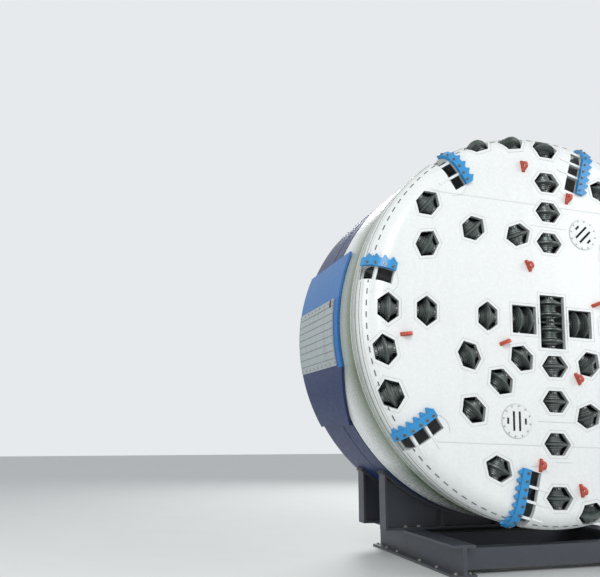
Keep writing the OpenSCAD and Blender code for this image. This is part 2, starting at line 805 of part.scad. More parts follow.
module motors() {
    color("steelblue") machine() around(motor_count, 180 / motor_count)
        translate([motor_circle_r, 0, -gearbox_end - motor_l]) {
            cylinder(h = motor_l, r = motor_d / 2, $fn = small_fn);
            for (z = [0, motor_l - motor_flange_t]) translate([0, 0, z])
                cylinder(h = motor_flange_t, r = motor_flange_d / 2, $fn = small_fn);
            translate([motor_d / 2 - cut, -terminal_box_w / 2, (motor_l - terminal_box_l) / 2])
                cube([terminal_box_h + cut, terminal_box_w, terminal_box_l]);
        }
}

// Outline of the trough, its opening upwards
module trough_outline(inset) {
    polygon([
        [-trough_w / 2 + inset, inset],
        [trough_w / 2 - inset, inset],
        [trough_top_w / 2 - inset, trough_h + (inset > 0 ? cut : 0)],
        [-trough_top_w / 2 + inset, trough_h + (inset > 0 ? cut : 0)]
    ]);
}

module conveyor() {
    roller_y = trough_t + roller_d / 2 + roller_lift;
    side_slope = (trough_top_w - trough_w) / 2 / trough_h;
    axle_l = trough_w + 2 * side_slope * roller_y - trough_t;
    color("gray") machine() translate([0, -trough_low, 0]) {
        translate([0, 0, -frame_rear]) linear_extrude(frame_rear - trough_front) difference() {
            trough_outline(0);
            trough_outline(trough_t);
        }
        for (d = [frame_front, frame_rear - trough_beam])
            translate([-bulkhead_opening_r - trough_beam, -trough_beam + weld, -d - trough_beam])
                cube([2 * (bulkhead_opening_r + trough_beam), trough_beam, trough_beam]);
        for (side = [0, 1]) mirror([side, 0, 0])
            translate([bulkhead_opening_r, -trough_beam + weld, -frame_rear])
                cube([trough_beam, trough_beam, frame_rear - frame_front]);
        for (d = [trough_front + roller_d : roller_pitch : frame_rear - roller_d])
            translate([0, roller_y, -d]) rotate([0, 90, 0]) {
                cylinder(h = trough_w - roller_d / 2, r = roller_d / 2, center = true, $fn = 32);
                cylinder(h = axle_l, r = roller_axle_d / 2, center = true, $fn = 24);
            }
    }
}

// A tube with ribs and a bolted flange, standing on the bulkhead
module cylinder_bracket() {
    rib_w = (bracket_flange_d - bracket_tube_d) / 2 - rib_inset;
    rib_angle = 180 / bracket_bolts;
    difference() {
        union() {
            translate([0, 0, -bracket_l]) cylinder(h = bracket_flange_t, r = bracket_flange_d / 2, $fn = small_fn);
            translate([0, 0, -bracket_l]) cylinder(h = bracket_l, r = bracket_tube_d / 2, $fn = small_fn);
            for (i = [0 : 3]) rotate([0, 0, rib_angle + i * 90])
                translate([bracket_tube_d / 2 - weld, -rib_t / 2, -bracket_l + bracket_flange_t - weld])
                    cube([rib_w, rib_t, bracket_l - bracket_flange_t + weld]);
        }
        translate([0, 0, -bracket_l - cut]) cylinder(h = spigot_depth + cut, r = spigot_d / 2, $fn = small_fn);
        around(bracket_bolts) translate([bracket_pcd / 2, 0, -bracket_l - cut])
            cylinder(h = bracket_flange_t + 2 * cut, r = bracket_hole_d / 2, $fn = 24);
    }
}

module cylinder_brackets() {
    color("royalblue") machine() around(bracket_count, 180 / bracket_count)
        translate([bracket_circle_r, 0, -bulkhead_rear]) cylinder_bracket();
}

module saddle(front) {
    strip_r = skin_r + seat_gap;
    half_w = strip_r * sin(saddle_arc);
    drop = axis_h - beam_h;
    web_front_y = front + (saddle_l - saddle_web_t) / 2;
    rotate([0, 0, 270 - saddle_arc]) rotate_extrude(angle = 2 * saddle_arc, $fn = round_fn)
        ring_section(front, front + saddle_l, strip_r + saddle_strip_t, strip_r);
    difference() {
        union() {
            translate([-half_w, -drop, -web_front_y - saddle_web_t])
                cube([2 * half_w, drop - strip_r * cos(saddle_arc), saddle_web_t]);
            for (i = [0 : saddle_ribs - 1])
                translate([-half_w + i * (2 * half_w - gusset_t) / (saddle_ribs - 1), -drop, -front - saddle_l])
                    cube([gusset_t, drop - strip_r * cos(saddle_arc) - rib_inset, saddle_l]);
            translate([-half_w, -drop, -front - saddle_l]) cube([2 * half_w, beam_flange_t, saddle_l]);
        }
        translate([0, 0, -front - saddle_l - cut])
            cylinder(h = saddle_l + 2 * cut, r = strip_r + saddle_strip_t / 2, $fn = round_fn);
    }
}

module cradle_saddles() {
    color("darkslateblue") machine() {
        saddle(skin_front + saddle_front);
        saddle(shield_end - saddle_rear - saddle_l);
    }
}

module base_beam_outline() {
    difference() {
        translate([-beam_w / 2, 0]) square([beam_w, beam_h]);
        for (side = [-1, 1]) translate([side * (beam_w + beam_web_t) / 4, beam_h / 2])
            square([(beam_w - beam_web_t) / 2, beam_h - 2 * beam_flange_t], center = true);
    }
}

module cradle_base() {
    beam_l = shield_end - beam_rear - beam_front;
    span = beam_spread - beam_web_t;
    color("darkslateblue") machine() translate([0, -axis_h, 0]) {
        for (side = [-1, 1]) translate([side * beam_spread / 2, 0, -beam_front - beam_l])
            linear_extrude(beam_l) base_beam_outline();
        for (d = [beam_front + cross_first, skin_front + saddle_front, shield_end - saddle_rear - cross_w])
            translate([-span / 2 - weld, (beam_h - cross_h) / 2, -d - cross_w])
                cube([span + 2 * weld, cross_h, cross_w]);
    }
}

head_shell();
cutter_housings();
cutter_shafts();
bucket_lips();
bucket_bars();
lifting_lugs();
port_covers();
head_rear();
for (i = [0 : len(FACE_NAMES) - 1]) face_cutter(i);
for (i = [0 : len(GAUGE_NAMES) - 1]) gauge_cutter(i);
for (i = [0 : len(TWIN_NAMES) - 1]) centre_cutter(i);
shield_skin();
side_pads();
side_panels();
bulkhead();
bearing_housing();
gearboxes();
motors();
conveyor();
cylinder_brackets();
cradle_saddles();
cradle_base();
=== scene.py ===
import json
import math

import bmesh
import bpy
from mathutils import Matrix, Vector
from mathutils.bvhtree import BVHTree


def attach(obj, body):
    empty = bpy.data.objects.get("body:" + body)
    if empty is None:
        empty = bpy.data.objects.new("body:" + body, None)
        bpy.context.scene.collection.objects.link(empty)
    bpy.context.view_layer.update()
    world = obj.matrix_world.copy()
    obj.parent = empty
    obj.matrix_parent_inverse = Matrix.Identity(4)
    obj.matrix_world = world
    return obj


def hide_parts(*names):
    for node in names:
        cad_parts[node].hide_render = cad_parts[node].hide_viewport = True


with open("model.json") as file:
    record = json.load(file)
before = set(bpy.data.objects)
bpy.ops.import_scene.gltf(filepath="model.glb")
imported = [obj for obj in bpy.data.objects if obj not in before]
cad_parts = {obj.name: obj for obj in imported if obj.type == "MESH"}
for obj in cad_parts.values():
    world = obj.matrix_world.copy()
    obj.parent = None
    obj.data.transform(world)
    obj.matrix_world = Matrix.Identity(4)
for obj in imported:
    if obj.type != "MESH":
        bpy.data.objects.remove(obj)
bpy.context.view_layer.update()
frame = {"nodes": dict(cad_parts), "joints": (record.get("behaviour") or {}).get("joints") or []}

nodes = frame["nodes"]

# Floor cradle
# Two rolled beams tied by cross beams stand on the shop floor, and two plate saddles bolted on top hold the
# shield. Mild steel, flame cut and welded, in thin dark workshop paint that has rubbed off along the edges.
AXIS_H = 3.75
FACE_Y = -1.635


def add_node(tree, kind, inputs=None, **settings):
    made = tree.nodes.new(kind)
    for key, value in settings.items():
        setattr(made, key, value)
    for key, value in (inputs or {}).items():
        if isinstance(value, bpy.types.NodeSocket):
            tree.links.new(value, made.inputs[key])
        else:
            made.inputs[key].default_value = value
    return made


def noise(tree, where, scale, detail=3.0, stretch=None):
    if stretch:
        where = add_node(tree, "ShaderNodeMapping", {"Vector": where, "Scale": stretch}).outputs[0]
    made = add_node(tree, "ShaderNodeTexNoise", {"Vector": where, "Scale": scale, "Detail": detail})
    return made.outputs["Fac"]


def span(tree, value, low, high, to_low=0.0, to_high=1.0):
    made = add_node(tree, "ShaderNodeMapRange", {
        "Value": value, "From Min": low, "From Max": high, "To Min": to_low, "To Max": to_high})
    return made.outputs[0]


def arithmetic(tree, what, a, b=0.0, c=0.0):
    made = add_node(tree, "ShaderNodeMath", {0: a, 1: b, 2: c}, operation=what)
    return made.outputs[0]


def mix_colour(tree, amount, a, b, blend="MIX"):
    made = add_node(tree, "ShaderNodeMix", {"Factor": amount, "A": a, "B": b},
                    data_type="RGBA", blend_type=blend)
    return made.outputs["Result"]


def edge_mask(tree, radius):
    """White along outer and inner edges, found by comparing the rounded normal with the true one."""
    rounded = add_node(tree, "ShaderNodeBevel", {"Radius": radius}, samples=4).outputs[0]
    true = add_node(tree, "ShaderNodeNewGeometry").outputs["True Normal"]
    alike = add_node(tree, "ShaderNodeVectorMath", {0: rounded, 1: true}, operation="DOT_PRODUCT")
    nearly_flat, sharp = 0.995, 0.8
    return span(tree, alike.outputs["Value"], nearly_flat, sharp)


def occlusion_shade_mask(tree, reach):
    """White in corners and recesses, where the surroundings shut out light; it paints shade there."""
    open_sky = add_node(tree, "ShaderNodeAmbientOcclusion", {"Distance": reach}, samples=8)
    return arithmetic(tree, "SUBTRACT", 1.0, open_sky.outputs["AO"])


def new_group(name, ins, outs):
    group = bpy.data.node_groups.new(name, "ShaderNodeTree")
    for label, value in ins:
        kind = "NodeSocketColor" if isinstance(value, tuple) else "NodeSocketFloat"
        socket = group.interface.new_socket(label, in_out="INPUT", socket_type=kind)
        socket.default_value = value
    for label, kind in outs:
        group.interface.new_socket(label, in_out="OUTPUT", socket_type=kind)
    return group, group.nodes.new("NodeGroupInput").outputs, group.nodes.new("NodeGroupOutput").inputs


def brushed_paint_group():
    """Sprayed workshop paint: uneven tone, runs of grime, painted shade in corners and recesses in the grime
    colour, and worn edges.
    """
    tree, given, result = new_group("Workshop paint", [
        ("Paint", (0.5, 0.5, 0.5, 1.0)), ("Undercoat", (0.2, 0.1, 0.06, 1.0)),
        ("Soiling and shade", (0.1, 0.09, 0.07, 1.0)), ("Unevenness", 0.1), ("Grime amount", 0.3), ("Wear amount", 0.4),
        ("Base roughness", 0.35)],
        [("Colour", "NodeSocketColor"), ("Roughness", "NodeSocketFloat"), ("Height", "NodeSocketFloat")])
    where = add_node(tree, "ShaderNodeTexCoord").outputs["Object"]
    broad = noise(tree, where, scale=0.9)
    runs = noise(tree, where, scale=1.5, detail=5.0, stretch=(5.0, 5.0, 0.7))
    runs = span(tree, runs, low=0.52, high=0.75)
    patches = span(tree, noise(tree, where, scale=16.0, detail=4.0), low=0.42, high=0.6)
    peel = noise(tree, where, scale=110.0, detail=2.0)
    lightness = arithmetic(tree, "MULTIPLY_ADD", arithmetic(tree, "SUBTRACT", broad, 0.5),
                           arithmetic(tree, "MULTIPLY", given["Unevenness"], -2.0), 1.0)
    tone = add_node(tree, "ShaderNodeHueSaturation", {"Color": given["Paint"], "Value": lightness}).outputs[0]
    # Painted shade: corners and recesses are darkened by how closed in they are, mixed with the grime runs.
    shade_in_corners = arithmetic(tree, "MULTIPLY", occlusion_shade_mask(tree, reach=0.16), 1.1)
    runs_and_shade = arithmetic(tree, "MULTIPLY_ADD", runs, 0.35, shade_in_corners)
    runs_and_shade = arithmetic(tree, "MULTIPLY", runs_and_shade, given["Grime amount"])
    cloudy = span(tree, broad, low=0.2, high=0.8, to_low=0.6, to_high=1.4)
    runs_and_shade = arithmetic(tree, "MULTIPLY", runs_and_shade, cloudy)
    runs_and_shade = arithmetic(tree, "MINIMUM", runs_and_shade, 0.9)
    worn = arithmetic(tree, "MULTIPLY", edge_mask(tree, radius=0.008), patches)
    worn = arithmetic(tree, "MULTIPLY", worn, given["Wear amount"])
    colour = mix_colour(tree, runs_and_shade, tone, given["Soiling and shade"])
    colour = mix_colour(tree, worn, colour, given["Undercoat"])
    rough = arithmetic(tree, "MULTIPLY_ADD", runs_and_shade, 0.4, given["Base roughness"])
    rough = arithmetic(tree, "MULTIPLY_ADD", worn, 0.2, rough)
    rough = arithmetic(tree, "MULTIPLY_ADD", patches, 0.06, rough)
    height = arithmetic(tree, "MULTIPLY_ADD", worn, -0.8, arithmetic(tree, "MULTIPLY_ADD", peel, 0.25, broad))
    for label, value in (("Colour", colour), ("Roughness", rough), ("Height", height)):
        tree.links.new(value, result[label])
    return tree


PAINT = brushed_paint_group()


def group_finish(name, group, settings, bump=0.25, relief=0.0015, **shader):
    """A material whose colour, roughness and relief come from one shared group."""
    made = bpy.data.materials.new(name)
    made.use_nodes = True
    tree = made.node_tree
    surface = tree.nodes["Principled BSDF"]
    source = add_node(tree, "ShaderNodeGroup", node_tree=group)
    for key, value in settings.items():
        source.inputs[key].default_value = value
    tree.links.new(source.outputs["Colour"], surface.inputs["Base Color"])
    tree.links.new(source.outputs["Roughness"], surface.inputs["Roughness"])
    lift = add_node(tree, "ShaderNodeBump", {
        "Strength": bump, "Distance": relief, "Height": source.outputs["Height"]})
    tree.links.new(lift.outputs[0], surface.inputs["Normal"])
    for key, value in shader.items():
        surface.inputs[key.replace("_", " ")].default_value = value
    return made


def paint_finish(name, paint, undercoat=(0.16, 0.13, 0.11, 1.0), unevenness=0.06, soiling_and_shade=0.25, wear=0.35,
                 roughness=0.32, coat=0.15, bump=0.25, gloss=0.5):
    return group_finish(name, PAINT, {
        "Paint": paint, "Undercoat": undercoat, "Unevenness": unevenness, "Grime amount": soiling_and_shade,
        "Wear amount": wear, "Base roughness": roughness}, bump=bump, Coat_Weight=coat, Coat_Roughness=0.15,
        Specular_IOR_Level=gloss)


def dress(names, finish):
    for name in names:
        nodes[name].data.materials.clear()
        nodes[name].data.materials.append(finish)


CREASE_ANGLE = 35


def make_piece(name, verts, faces, finish, body, smooth=False):
    """A new mesh piece in the shared frame, riding on a body."""
    mesh = bpy.data.meshes.new(name)
    mesh.from_pydata(verts, [], faces)
    shape = bmesh.new()
    shape.from_mesh(mesh)
    bmesh.ops.recalc_face_normals(shape, faces=shape.faces)
    shape.to_mesh(mesh)
    shape.free()
    mesh.materials.append(finish)
    if smooth:
        mesh.shade_smooth()
        mesh.set_sharp_from_angle(angle=math.radians(CREASE_ANGLE))
    piece = bpy.data.objects.new(name, mesh)
    bpy.context.scene.collection.objects.link(piece)
    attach(piece, body)
    return piece


def facing(direction):
    """A rotation that turns +Z to a direction."""
    return Vector(direction).to_track_quat("Z", "Y").to_matrix()


def lathe_rings(profile, sides, verts, faces, place):
    """Adds a closed turned form to a mesh: profile is (radius, height) from the bottom up."""
    start = len(verts)
    for radius, height in profile:
        for i in range(sides):
            a = 2 * math.pi * i / sides
            verts.append(place(Vector((radius * math.cos(a), radius * math.sin(a), height))))
    for row in range(len(profile) - 1):
        for i in range(sides):
            j = (i + 1) % sides
            low, high = start + row * sides, start + (row + 1) * sides
            faces.append((low + i, low + j, high + j, high + i))
    faces.append(tuple(start + i for i in reversed(range(sides))))
    faces.append(tuple(start + (len(profile) - 1) * sides + i for i in range(sides)))


# Bolt heads and washers, in shares of the head's half width over its corners.
WASHER_R = 1.25
WASHER_TOP_R = 1.2
WASHER_SIDE_H = 0.16
WASHER_H = 0.2
HEAD_TOP_R = 0.86
HEAD_SIDE_H = 0.55
HEAD_H = 0.68
SUNK = 0.002


def hex_bolts(name, seats, across, finish, body, washer=True):
    """Bolt heads on washers, chamfered on top, at (point, outward direction) seats."""
    verts, faces = [], []
    r = across / 2 / math.cos(math.pi / 6)
    for point, direction in seats:
        turn, origin = facing(direction), Vector(point)
        place = lambda p: turn @ p + origin
        lift = 0.0
        if washer:
            disc = [(r * WASHER_R, -SUNK), (r * WASHER_R, r * WASHER_SIDE_H),
                    (r * WASHER_TOP_R, r * WASHER_H)]
            lathe_rings(disc, 20, verts, faces, place)
            lift = r * WASHER_H
        head = [(r, lift - SUNK / 2), (r, lift + r * HEAD_SIDE_H), (r * HEAD_TOP_R, lift + r * HEAD_H)]
        lathe_rings(head, 6, verts, faces, place)
    return make_piece(name, verts, faces, finish, body)


cradle_paint = paint_finish("cradle paint", (0.045, 0.052, 0.065, 1.0), soiling_and_shade=0.35, wear=0.6, roughness=0.45)
zinc_bolt = paint_finish("zinc plated bolt", (0.42, 0.42, 0.40, 1.0), undercoat=(0.2, 0.17, 0.14, 1.0),
                         soiling_and_shade=0.4, wear=0.3, roughness=0.38, coat=0.0)
zinc_bolt.node_tree.nodes["Principled BSDF"].inputs["Metallic"].default_value = 0.85
dress(["cradle_base", "cradle_saddles"], cradle_paint)
UP = (0, 0, 1)
SADDLE_Y = (0.455, 1.475)
SADDLE_BOLT_X = (1.48, 1.72)
SADDLE_BOLT_Y = 0.085
SADDLE_FOOT_TOP = 0.49
SADDLE_BOLT_ACROSS = 0.055
BEAM_X = 1.6
ANCHOR_X = 0.11
ANCHOR_DEPTHS = (0.3, 0.9, 1.5, 2.4, 2.85, 3.3)
BEAM_FLANGE_TOP = 0.04
ANCHOR_ACROSS = 0.046
saddle_seats, anchor_seats = [], []
for side in (-1, 1):
    for saddle_y in SADDLE_Y:
        for along in (-SADDLE_BOLT_Y, SADDLE_BOLT_Y):
            for across in SADDLE_BOLT_X:
                saddle_seats.append(((side * across, saddle_y + along, SADDLE_FOOT_TOP), UP))
    for across in (-ANCHOR_X, ANCHOR_X):
        for depth in ANCHOR_DEPTHS:
            anchor_seats.append(((side * BEAM_X + across, FACE_Y + depth, BEAM_FLANGE_TOP), UP))
hex_bolts("saddle_bolts", saddle_seats, SADDLE_BOLT_ACROSS, zinc_bolt, "shield")
hex_bolts("anchor_bolts", anchor_seats, ANCHOR_ACROSS, zinc_bolt, "shield")

# Forward shield
# A rolled steel can with a bolted flange at its rear, and curved grip pads on both sides that reach forward
# over the cutterhead. Blue machine enamel over primer, with pale grey service panels on the pads.
SKIN_R = 3.13
FLANK_R = 3.13
PAD_PROUD = 0.0523
PAD_R = SKIN_R + PAD_PROUD
PANEL_PROUD = 0.0163
PANEL_R = PAD_R + PANEL_PROUD
PAD_FRONT = FACE_Y + 1.18
PANEL_FRONT = PAD_FRONT + 0.19
PANEL_REAR = FACE_Y + 3.34
PANEL_ANGLES = (-11.5, 8.5)
STRIPE_BOTTOM = 3.08
STRIPE_TOP = 4.22
PAD_REAR = FACE_Y + 3.4
PAD_ANGLES = (-30, 23)
PAD_GAP = 0.014
PAD_INNER_R = FLANK_R + PAD_GAP
SKIN_FRONT = FACE_Y + 1.8
SKIN_REAR = FACE_Y + 3.4
SLOPE_FROM = -12.3
NAVY = (0.010, 0.029, 0.11, 1.0)


def on_circle(radius, angle, y):
    a = math.radians(angle)
    return Vector((radius * math.cos(a), y, AXIS_H + radius * math.sin(a)))


def from_axis(angle):
    return on_circle(1.0, angle, 0.0) - Vector((0, 0, AXIS_H))


def place_sockets(tree):
    """Object coordinates: sideways, along the tunnel axis, and up."""
    where = add_node(tree, "ShaderNodeTexCoord").outputs["Object"]
    return add_node(tree, "ShaderNodeSeparateXYZ", {0: where}).outputs


def surface_of(*names):
    """The outer surface of CAD nodes, for pieces that are laid on it."""
    verts, faces = [], []
    for name in names:
        start = len(verts)
        verts += [corner.co.copy() for corner in nodes[name].data.vertices]
        faces += [[start + i for i in face.vertices] for face in nodes[name].data.polygons]
    return BVHTree.FromPolygons(verts, faces)


RAY_REACH = 0.2
FACING_SHARE = 0.75


def stretches_on(surface, path, slack):
    """Cuts a path of (point, outward direction) pairs into the stretches that lie on a surface."""
    runs = [[]]
    for point, out in path:
        hit, normal = surface.ray_cast(point + out * RAY_REACH, -out, 2 * RAY_REACH)[:2]
        if hit is not None and (hit - point).length < slack and abs(normal.dot(out)) > FACING_SHARE:
            runs[-1].append((hit, out))
        elif runs[-1]:
            runs.append([])
    return [run for run in runs if len(run) > 1]


BEAD_ROOT = 0.002
BEAD_CROWN = 0.6


def lay_beads(name, surface, paths, width, height, finish, body, slot, slack=0.004):
    """Raised beads or strips on a surface, closed at their ends."""
    verts, faces = [], []
    for run in [run for path in paths for run in stretches_on(surface, path, slack)]:
        start = len(verts)
        for i, (point, out) in enumerate(run):
            ahead = run[min(i + 1, len(run) - 1)][0] - run[max(i - 1, 0)][0]
            side = out.cross(ahead).normalized() * (width / 2)
            low, top = point - out * BEAD_ROOT, point + out * height
            verts += [low - side, top - side * BEAD_CROWN, top + side * BEAD_CROWN, low + side]
        for i in range(start, len(verts) - 4, 4):
            faces += [(i + k, i + (k + 1) % 4, i + 4 + (k + 1) % 4, i + 4 + k) for k in range(4)]
        faces += [tuple(range(start, start + 4)), tuple(range(len(verts) - 4, len(verts)))]
    return make_piece(name, verts, faces, finish, body, smooth=True)


def round_path(radius, y, angles):
    return [(on_circle(radius, a, y), from_axis(a)) for a in angles]


def steps(start, end, count):
    return [start + (end - start) * i / count for i in range(count + 1)]


NAVY_UNDERCOAT = (0.16, 0.17, 0.20, 1.0)
shield_blue = paint_finish("shield navy enamel", NAVY, undercoat=NAVY_UNDERCOAT, soiling_and_shade=0.2, wear=0.4,
                           roughness=0.36, coat=0.0, gloss=0.25)
pad_blue = paint_finish("pad navy enamel", NAVY, undercoat=NAVY_UNDERCOAT, soiling_and_shade=0.15, wear=0.4,
                        roughness=0.36, coat=0.0, gloss=0.25)
panel_grey = paint_finish("panel pale grey enamel", (0.34, 0.39, 0.40, 1.0),
                          undercoat=(0.30, 0.31, 0.33, 1.0), soiling_and_shade=0.6, wear=0.5, roughness=0.34)
dress(["shield_skin"], shield_blue)
dress(["side_panels"], panel_grey)

# Side pads
# Thick plates rolled to the shield's curve and welded on; they reach forward over the head's flank, and the
# lower part of their front edge slopes back to the skin. Navy below, and painted lighter blue above as a
# painted reflection of light falling from above, with an azure band on the front border.
tree = pad_blue.node_tree
place = place_sockets(tree)
UPPER_SHEEN_BLUE = (0.035, 0.17, 0.44, 1.0)
STRIPE_BLUE = (0.005, 0.14, 0.42, 1.0)
MASKED_EDGE = 0.004
border = span(tree, place["Y"], PANEL_FRONT + MASKED_EDGE / 2, PANEL_FRONT - MASKED_EDGE / 2)
above = span(tree, place["Z"], STRIPE_BOTTOM - MASKED_EDGE, STRIPE_BOTTOM + MASKED_EDGE)
below = span(tree, place["Z"], STRIPE_TOP + MASKED_EDGE, STRIPE_TOP - MASKED_EDGE)
stripe = arithmetic(tree, "MULTIPLY", border, arithmetic(tree, "MULTIPLY", above, below))
# Painted reflection: above the stripe's top the pads are painted lighter blue, as light from above would show
# on them.
sheen_above = span(tree, place["Z"], STRIPE_TOP - MASKED_EDGE, STRIPE_TOP + MASKED_EDGE)
pad_colour = mix_colour(tree, sheen_above, NAVY, UPPER_SHEEN_BLUE)
pad_colour = mix_colour(tree, stripe, pad_colour, STRIPE_BLUE)
tree.links.new(pad_colour, tree.nodes["Group"].inputs["Paint"])


SLOPE_END = SKIN_FRONT + 0.02


def pad_front_at(angle):
    """Where the pad starts along the tunnel axis: the lower part of its front edge slopes back."""
    share = max(0.0, (angle - SLOPE_FROM) / (PAD_ANGLES[0] - SLOPE_FROM))
    return PAD_FRONT + share * (SLOPE_END - PAD_FRONT)


PAD_CHAMFER = 0.006
PAD_SEAT_R = SKIN_R + 0.0003
PAD_STEP = 0.001
PAD_SHOULDER = 0.3
verts, faces = [], []
columns = sorted(set(steps(PAD_ANGLES[0], PAD_ANGLES[1], PAD_ANGLES[1] - PAD_ANGLES[0]) + [SLOPE_FROM]))
for mirror in (False, True):
    start = len(verts)
    for angle in columns:
        turned = 180 - angle if mirror else angle
        front = pad_front_at(angle)
        seat = max(front, SKIN_FRONT)
        section = [(PAD_INNER_R, front), (PAD_R - PAD_CHAMFER, front), (PAD_R, front + PAD_CHAMFER),
                   (PAD_R, seat + PAD_SHOULDER), (PAD_R, PAD_REAR), (PAD_SEAT_R, PAD_REAR),
                   (PAD_SEAT_R, seat + PAD_STEP), (PAD_INNER_R, seat)]
        verts += [on_circle(radius, turned, y) for radius, y in section]
    corners = len(section)
    for i in range(len(columns) - 1):
        a, b = start + corners * i, start + corners * (i + 1)
        faces += [(a + k, a + (k + 1) % corners, b + (k + 1) % corners, b + k) for k in range(corners)]
    faces += [tuple(range(start, start + corners)), tuple(range(len(verts) - corners, len(verts)))]
side_pads = make_piece("shaped_side_pads", verts, faces, pad_blue, "shield", smooth=True)
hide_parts("side_pads")

PLATE_JOINT_Y = FACE_Y + 2.32
PLATE_JOINT_ANGLES = (50, 130, 235, 305)
TOE_ANGLE = 0.14
BEAD_STOP = 0.01
# Width and height of beads.
SKIN_SEAM = (0.016, 0.005)
PAD_WELD = (0.020, 0.012)
skin = surface_of("shield_skin")
skin_length = steps(SKIN_FRONT + BEAD_STOP, SKIN_REAR - BEAD_STOP, 60)


def along_skin(angle):
    return [(on_circle(SKIN_R, angle, y), from_axis(angle)) for y in skin_length]


skin_seams = [round_path(SKIN_R, PLATE_JOINT_Y, steps(-180, 180, 240))]
skin_seams += [along_skin(angle) for angle in PLATE_JOINT_ANGLES]
lay_beads("skin_seams", skin, skin_seams, *SKIN_SEAM, shield_blue, "shield", "shield_blue")
pad_welds = []
for angle in (PAD_ANGLES[0] - TOE_ANGLE, PAD_ANGLES[1] + TOE_ANGLE):
    pad_welds += [along_skin(angle), along_skin(180 - angle)]
lay_beads("pad_welds", skin, pad_welds, *PAD_WELD, shield_blue, "shield", "shield_blue")

SCREW_INSET = 0.05
SCREW_INSET_ANGLE = 0.9
SCREW_PITCHES = 8
PANEL_SCREW_ACROSS = 0.022
PLUG_ANGLE = 7.2
PLUG_SETBACK = 0.16
PLUG_STRETCH = (0.8, 1.7)
PLUG = [(0.040, -0.004), (0.040, 0.006), (0.034, 0.010)]
panel_screws = []
verts, faces = [], []
for mirror in (False, True):
    for angle in (PANEL_ANGLES[0] + SCREW_INSET_ANGLE, PANEL_ANGLES[1] - SCREW_INSET_ANGLE):
        turned = 180 - angle if mirror else angle
        for y in steps(PANEL_FRONT + SCREW_INSET, PANEL_REAR - SCREW_INSET, SCREW_PITCHES):
            panel_screws.append((on_circle(PANEL_R, turned, y), from_axis(turned)))
    angle = 180 - PLUG_ANGLE if mirror else PLUG_ANGLE
    turn, centre = facing(from_axis(angle)), on_circle(PANEL_R, angle, PANEL_FRONT + PLUG_SETBACK)
    stretch = lambda p: centre + turn @ Vector((p.x * PLUG_STRETCH[0], p.y * PLUG_STRETCH[1], p.z))
    lathe_rings(PLUG, 32, verts, faces, stretch)
hex_bolts("panel_screws", panel_screws, PANEL_SCREW_ACROSS, zinc_bolt, "shield")
plug_black = paint_finish("black panel plug", (0.03, 0.035, 0.04, 1.0), undercoat=(0.2, 0.2, 0.2, 1.0),
                          soiling_and_shade=0.3, wear=0.3, roughness=0.45, coat=0.0)
make_piece("panel_plugs", verts, faces, plug_black, "shield", smooth=True)

# Bulkhead
# The plate across the shield that carries the bearing and the drive, stiffened by gussets against the skin.
# Light grey machine enamel; it is welded in, so it has no bolts of its own.
grey_enamel = paint_finish("light grey enamel", (0.46, 0.48, 0.49, 1.0), soiling_and_shade=0.35, wear=0.3)
dress(["bulkhead", "gearboxes", "conveyor"], grey_enamel)

# Main bearing housing
# A heavy forged and turned ring, bolted to the bulkhead's front, in which the head's ring runs.
# Its faces are bare turned steel under a film of grease.


def bare_steel_group():
    """Machined or forged steel: fine turning marks, oil splashes, painted shade in corners and recesses in
    the oil stain colour, and bright rubbed edges.
    """
    tree, given, result = new_group("Bare steel", [
        ("Steel", (0.4, 0.4, 0.4, 1.0)), ("Oil and shade", (0.08, 0.06, 0.04, 1.0)),
        ("Bright edge", (0.6, 0.6, 0.6, 1.0)), ("Oil and shade amount", 0.4), ("Edge amount", 0.6),
        ("Base roughness", 0.4)],
        [("Colour", "NodeSocketColor"), ("Roughness", "NodeSocketFloat"), ("Height", "NodeSocketFloat")])
    where = add_node(tree, "ShaderNodeTexCoord").outputs["Object"]
    cloud = noise(tree, where, scale=5.0, detail=5.0)
    grain = noise(tree, where, scale=160.0, detail=2.0)
    splashes = span(tree, cloud, low=0.45, high=0.7, to_high=0.6)
    # Painted shade: corners and recesses are darkened by how closed in they are, added to the random oil
    # splashes.
    oil_and_shade = arithmetic(tree, "MULTIPLY_ADD", occlusion_shade_mask(tree, reach=0.12), 0.9, splashes)
    oil_and_shade = arithmetic(tree, "MINIMUM", arithmetic(tree, "MULTIPLY", oil_and_shade, given["Oil and shade amount"]), 0.95)
    bright = arithmetic(tree, "MULTIPLY", edge_mask(tree, radius=0.012), given["Edge amount"])
    colour = mix_colour(tree, oil_and_shade, given["Steel"], given["Oil and shade"])
    colour = mix_colour(tree, bright, colour, given["Bright edge"])
    rough = arithmetic(tree, "MULTIPLY_ADD", oil_and_shade, 0.3, given["Base roughness"])
    rough = arithmetic(tree, "MULTIPLY_ADD", grain, 0.08, rough)
    rough = arithmetic(tree, "MULTIPLY_ADD", bright, -0.15, rough)
    height = arithmetic(tree, "MULTIPLY_ADD", grain, 0.4, cloud)
    for label, value in (("Colour", colour), ("Roughness", rough), ("Height", height)):
        tree.links.new(value, result[label])
    return tree


STEEL = bare_steel_group()


def steel_finish(name, steel, oil_and_shade=(0.07, 0.055, 0.04, 1.0), bright=(0.55, 0.55, 0.53, 1.0), oil_and_shade_amount=0.4,
                 edges=0.6, roughness=0.4, metal=0.9, bump=0.2):
    return group_finish(name, STEEL, {
        "Steel": steel, "Oil and shade": oil_and_shade, "Bright edge": bright, "Oil and shade amount": oil_and_shade_amount,
        "Edge amount": edges, "Base roughness": roughness}, bump=bump, Metallic=metal)


turned_steel = steel_finish("greased turned steel", (0.5, 0.5, 0.48, 1.0), roughness=0.3)
dress(["bearing_housing"], turned_steel)
BEARING_BOLT_R = 1.99
BEARING_BOLT_Y = FACE_Y + 2.18
BEARING_BOLTS = 48
BEARING_BOLT_ACROSS = 0.046
bearing_seats = []
for i in range(BEARING_BOLTS):
    bearing_seats.append((on_circle(BEARING_BOLT_R, 360 / BEARING_BOLTS * i, BEARING_BOLT_Y), (0, -1, 0)))
hex_bolts("bearing_bolts", bearing_seats, BEARING_BOLT_ACROSS, zinc_bolt, "shield")

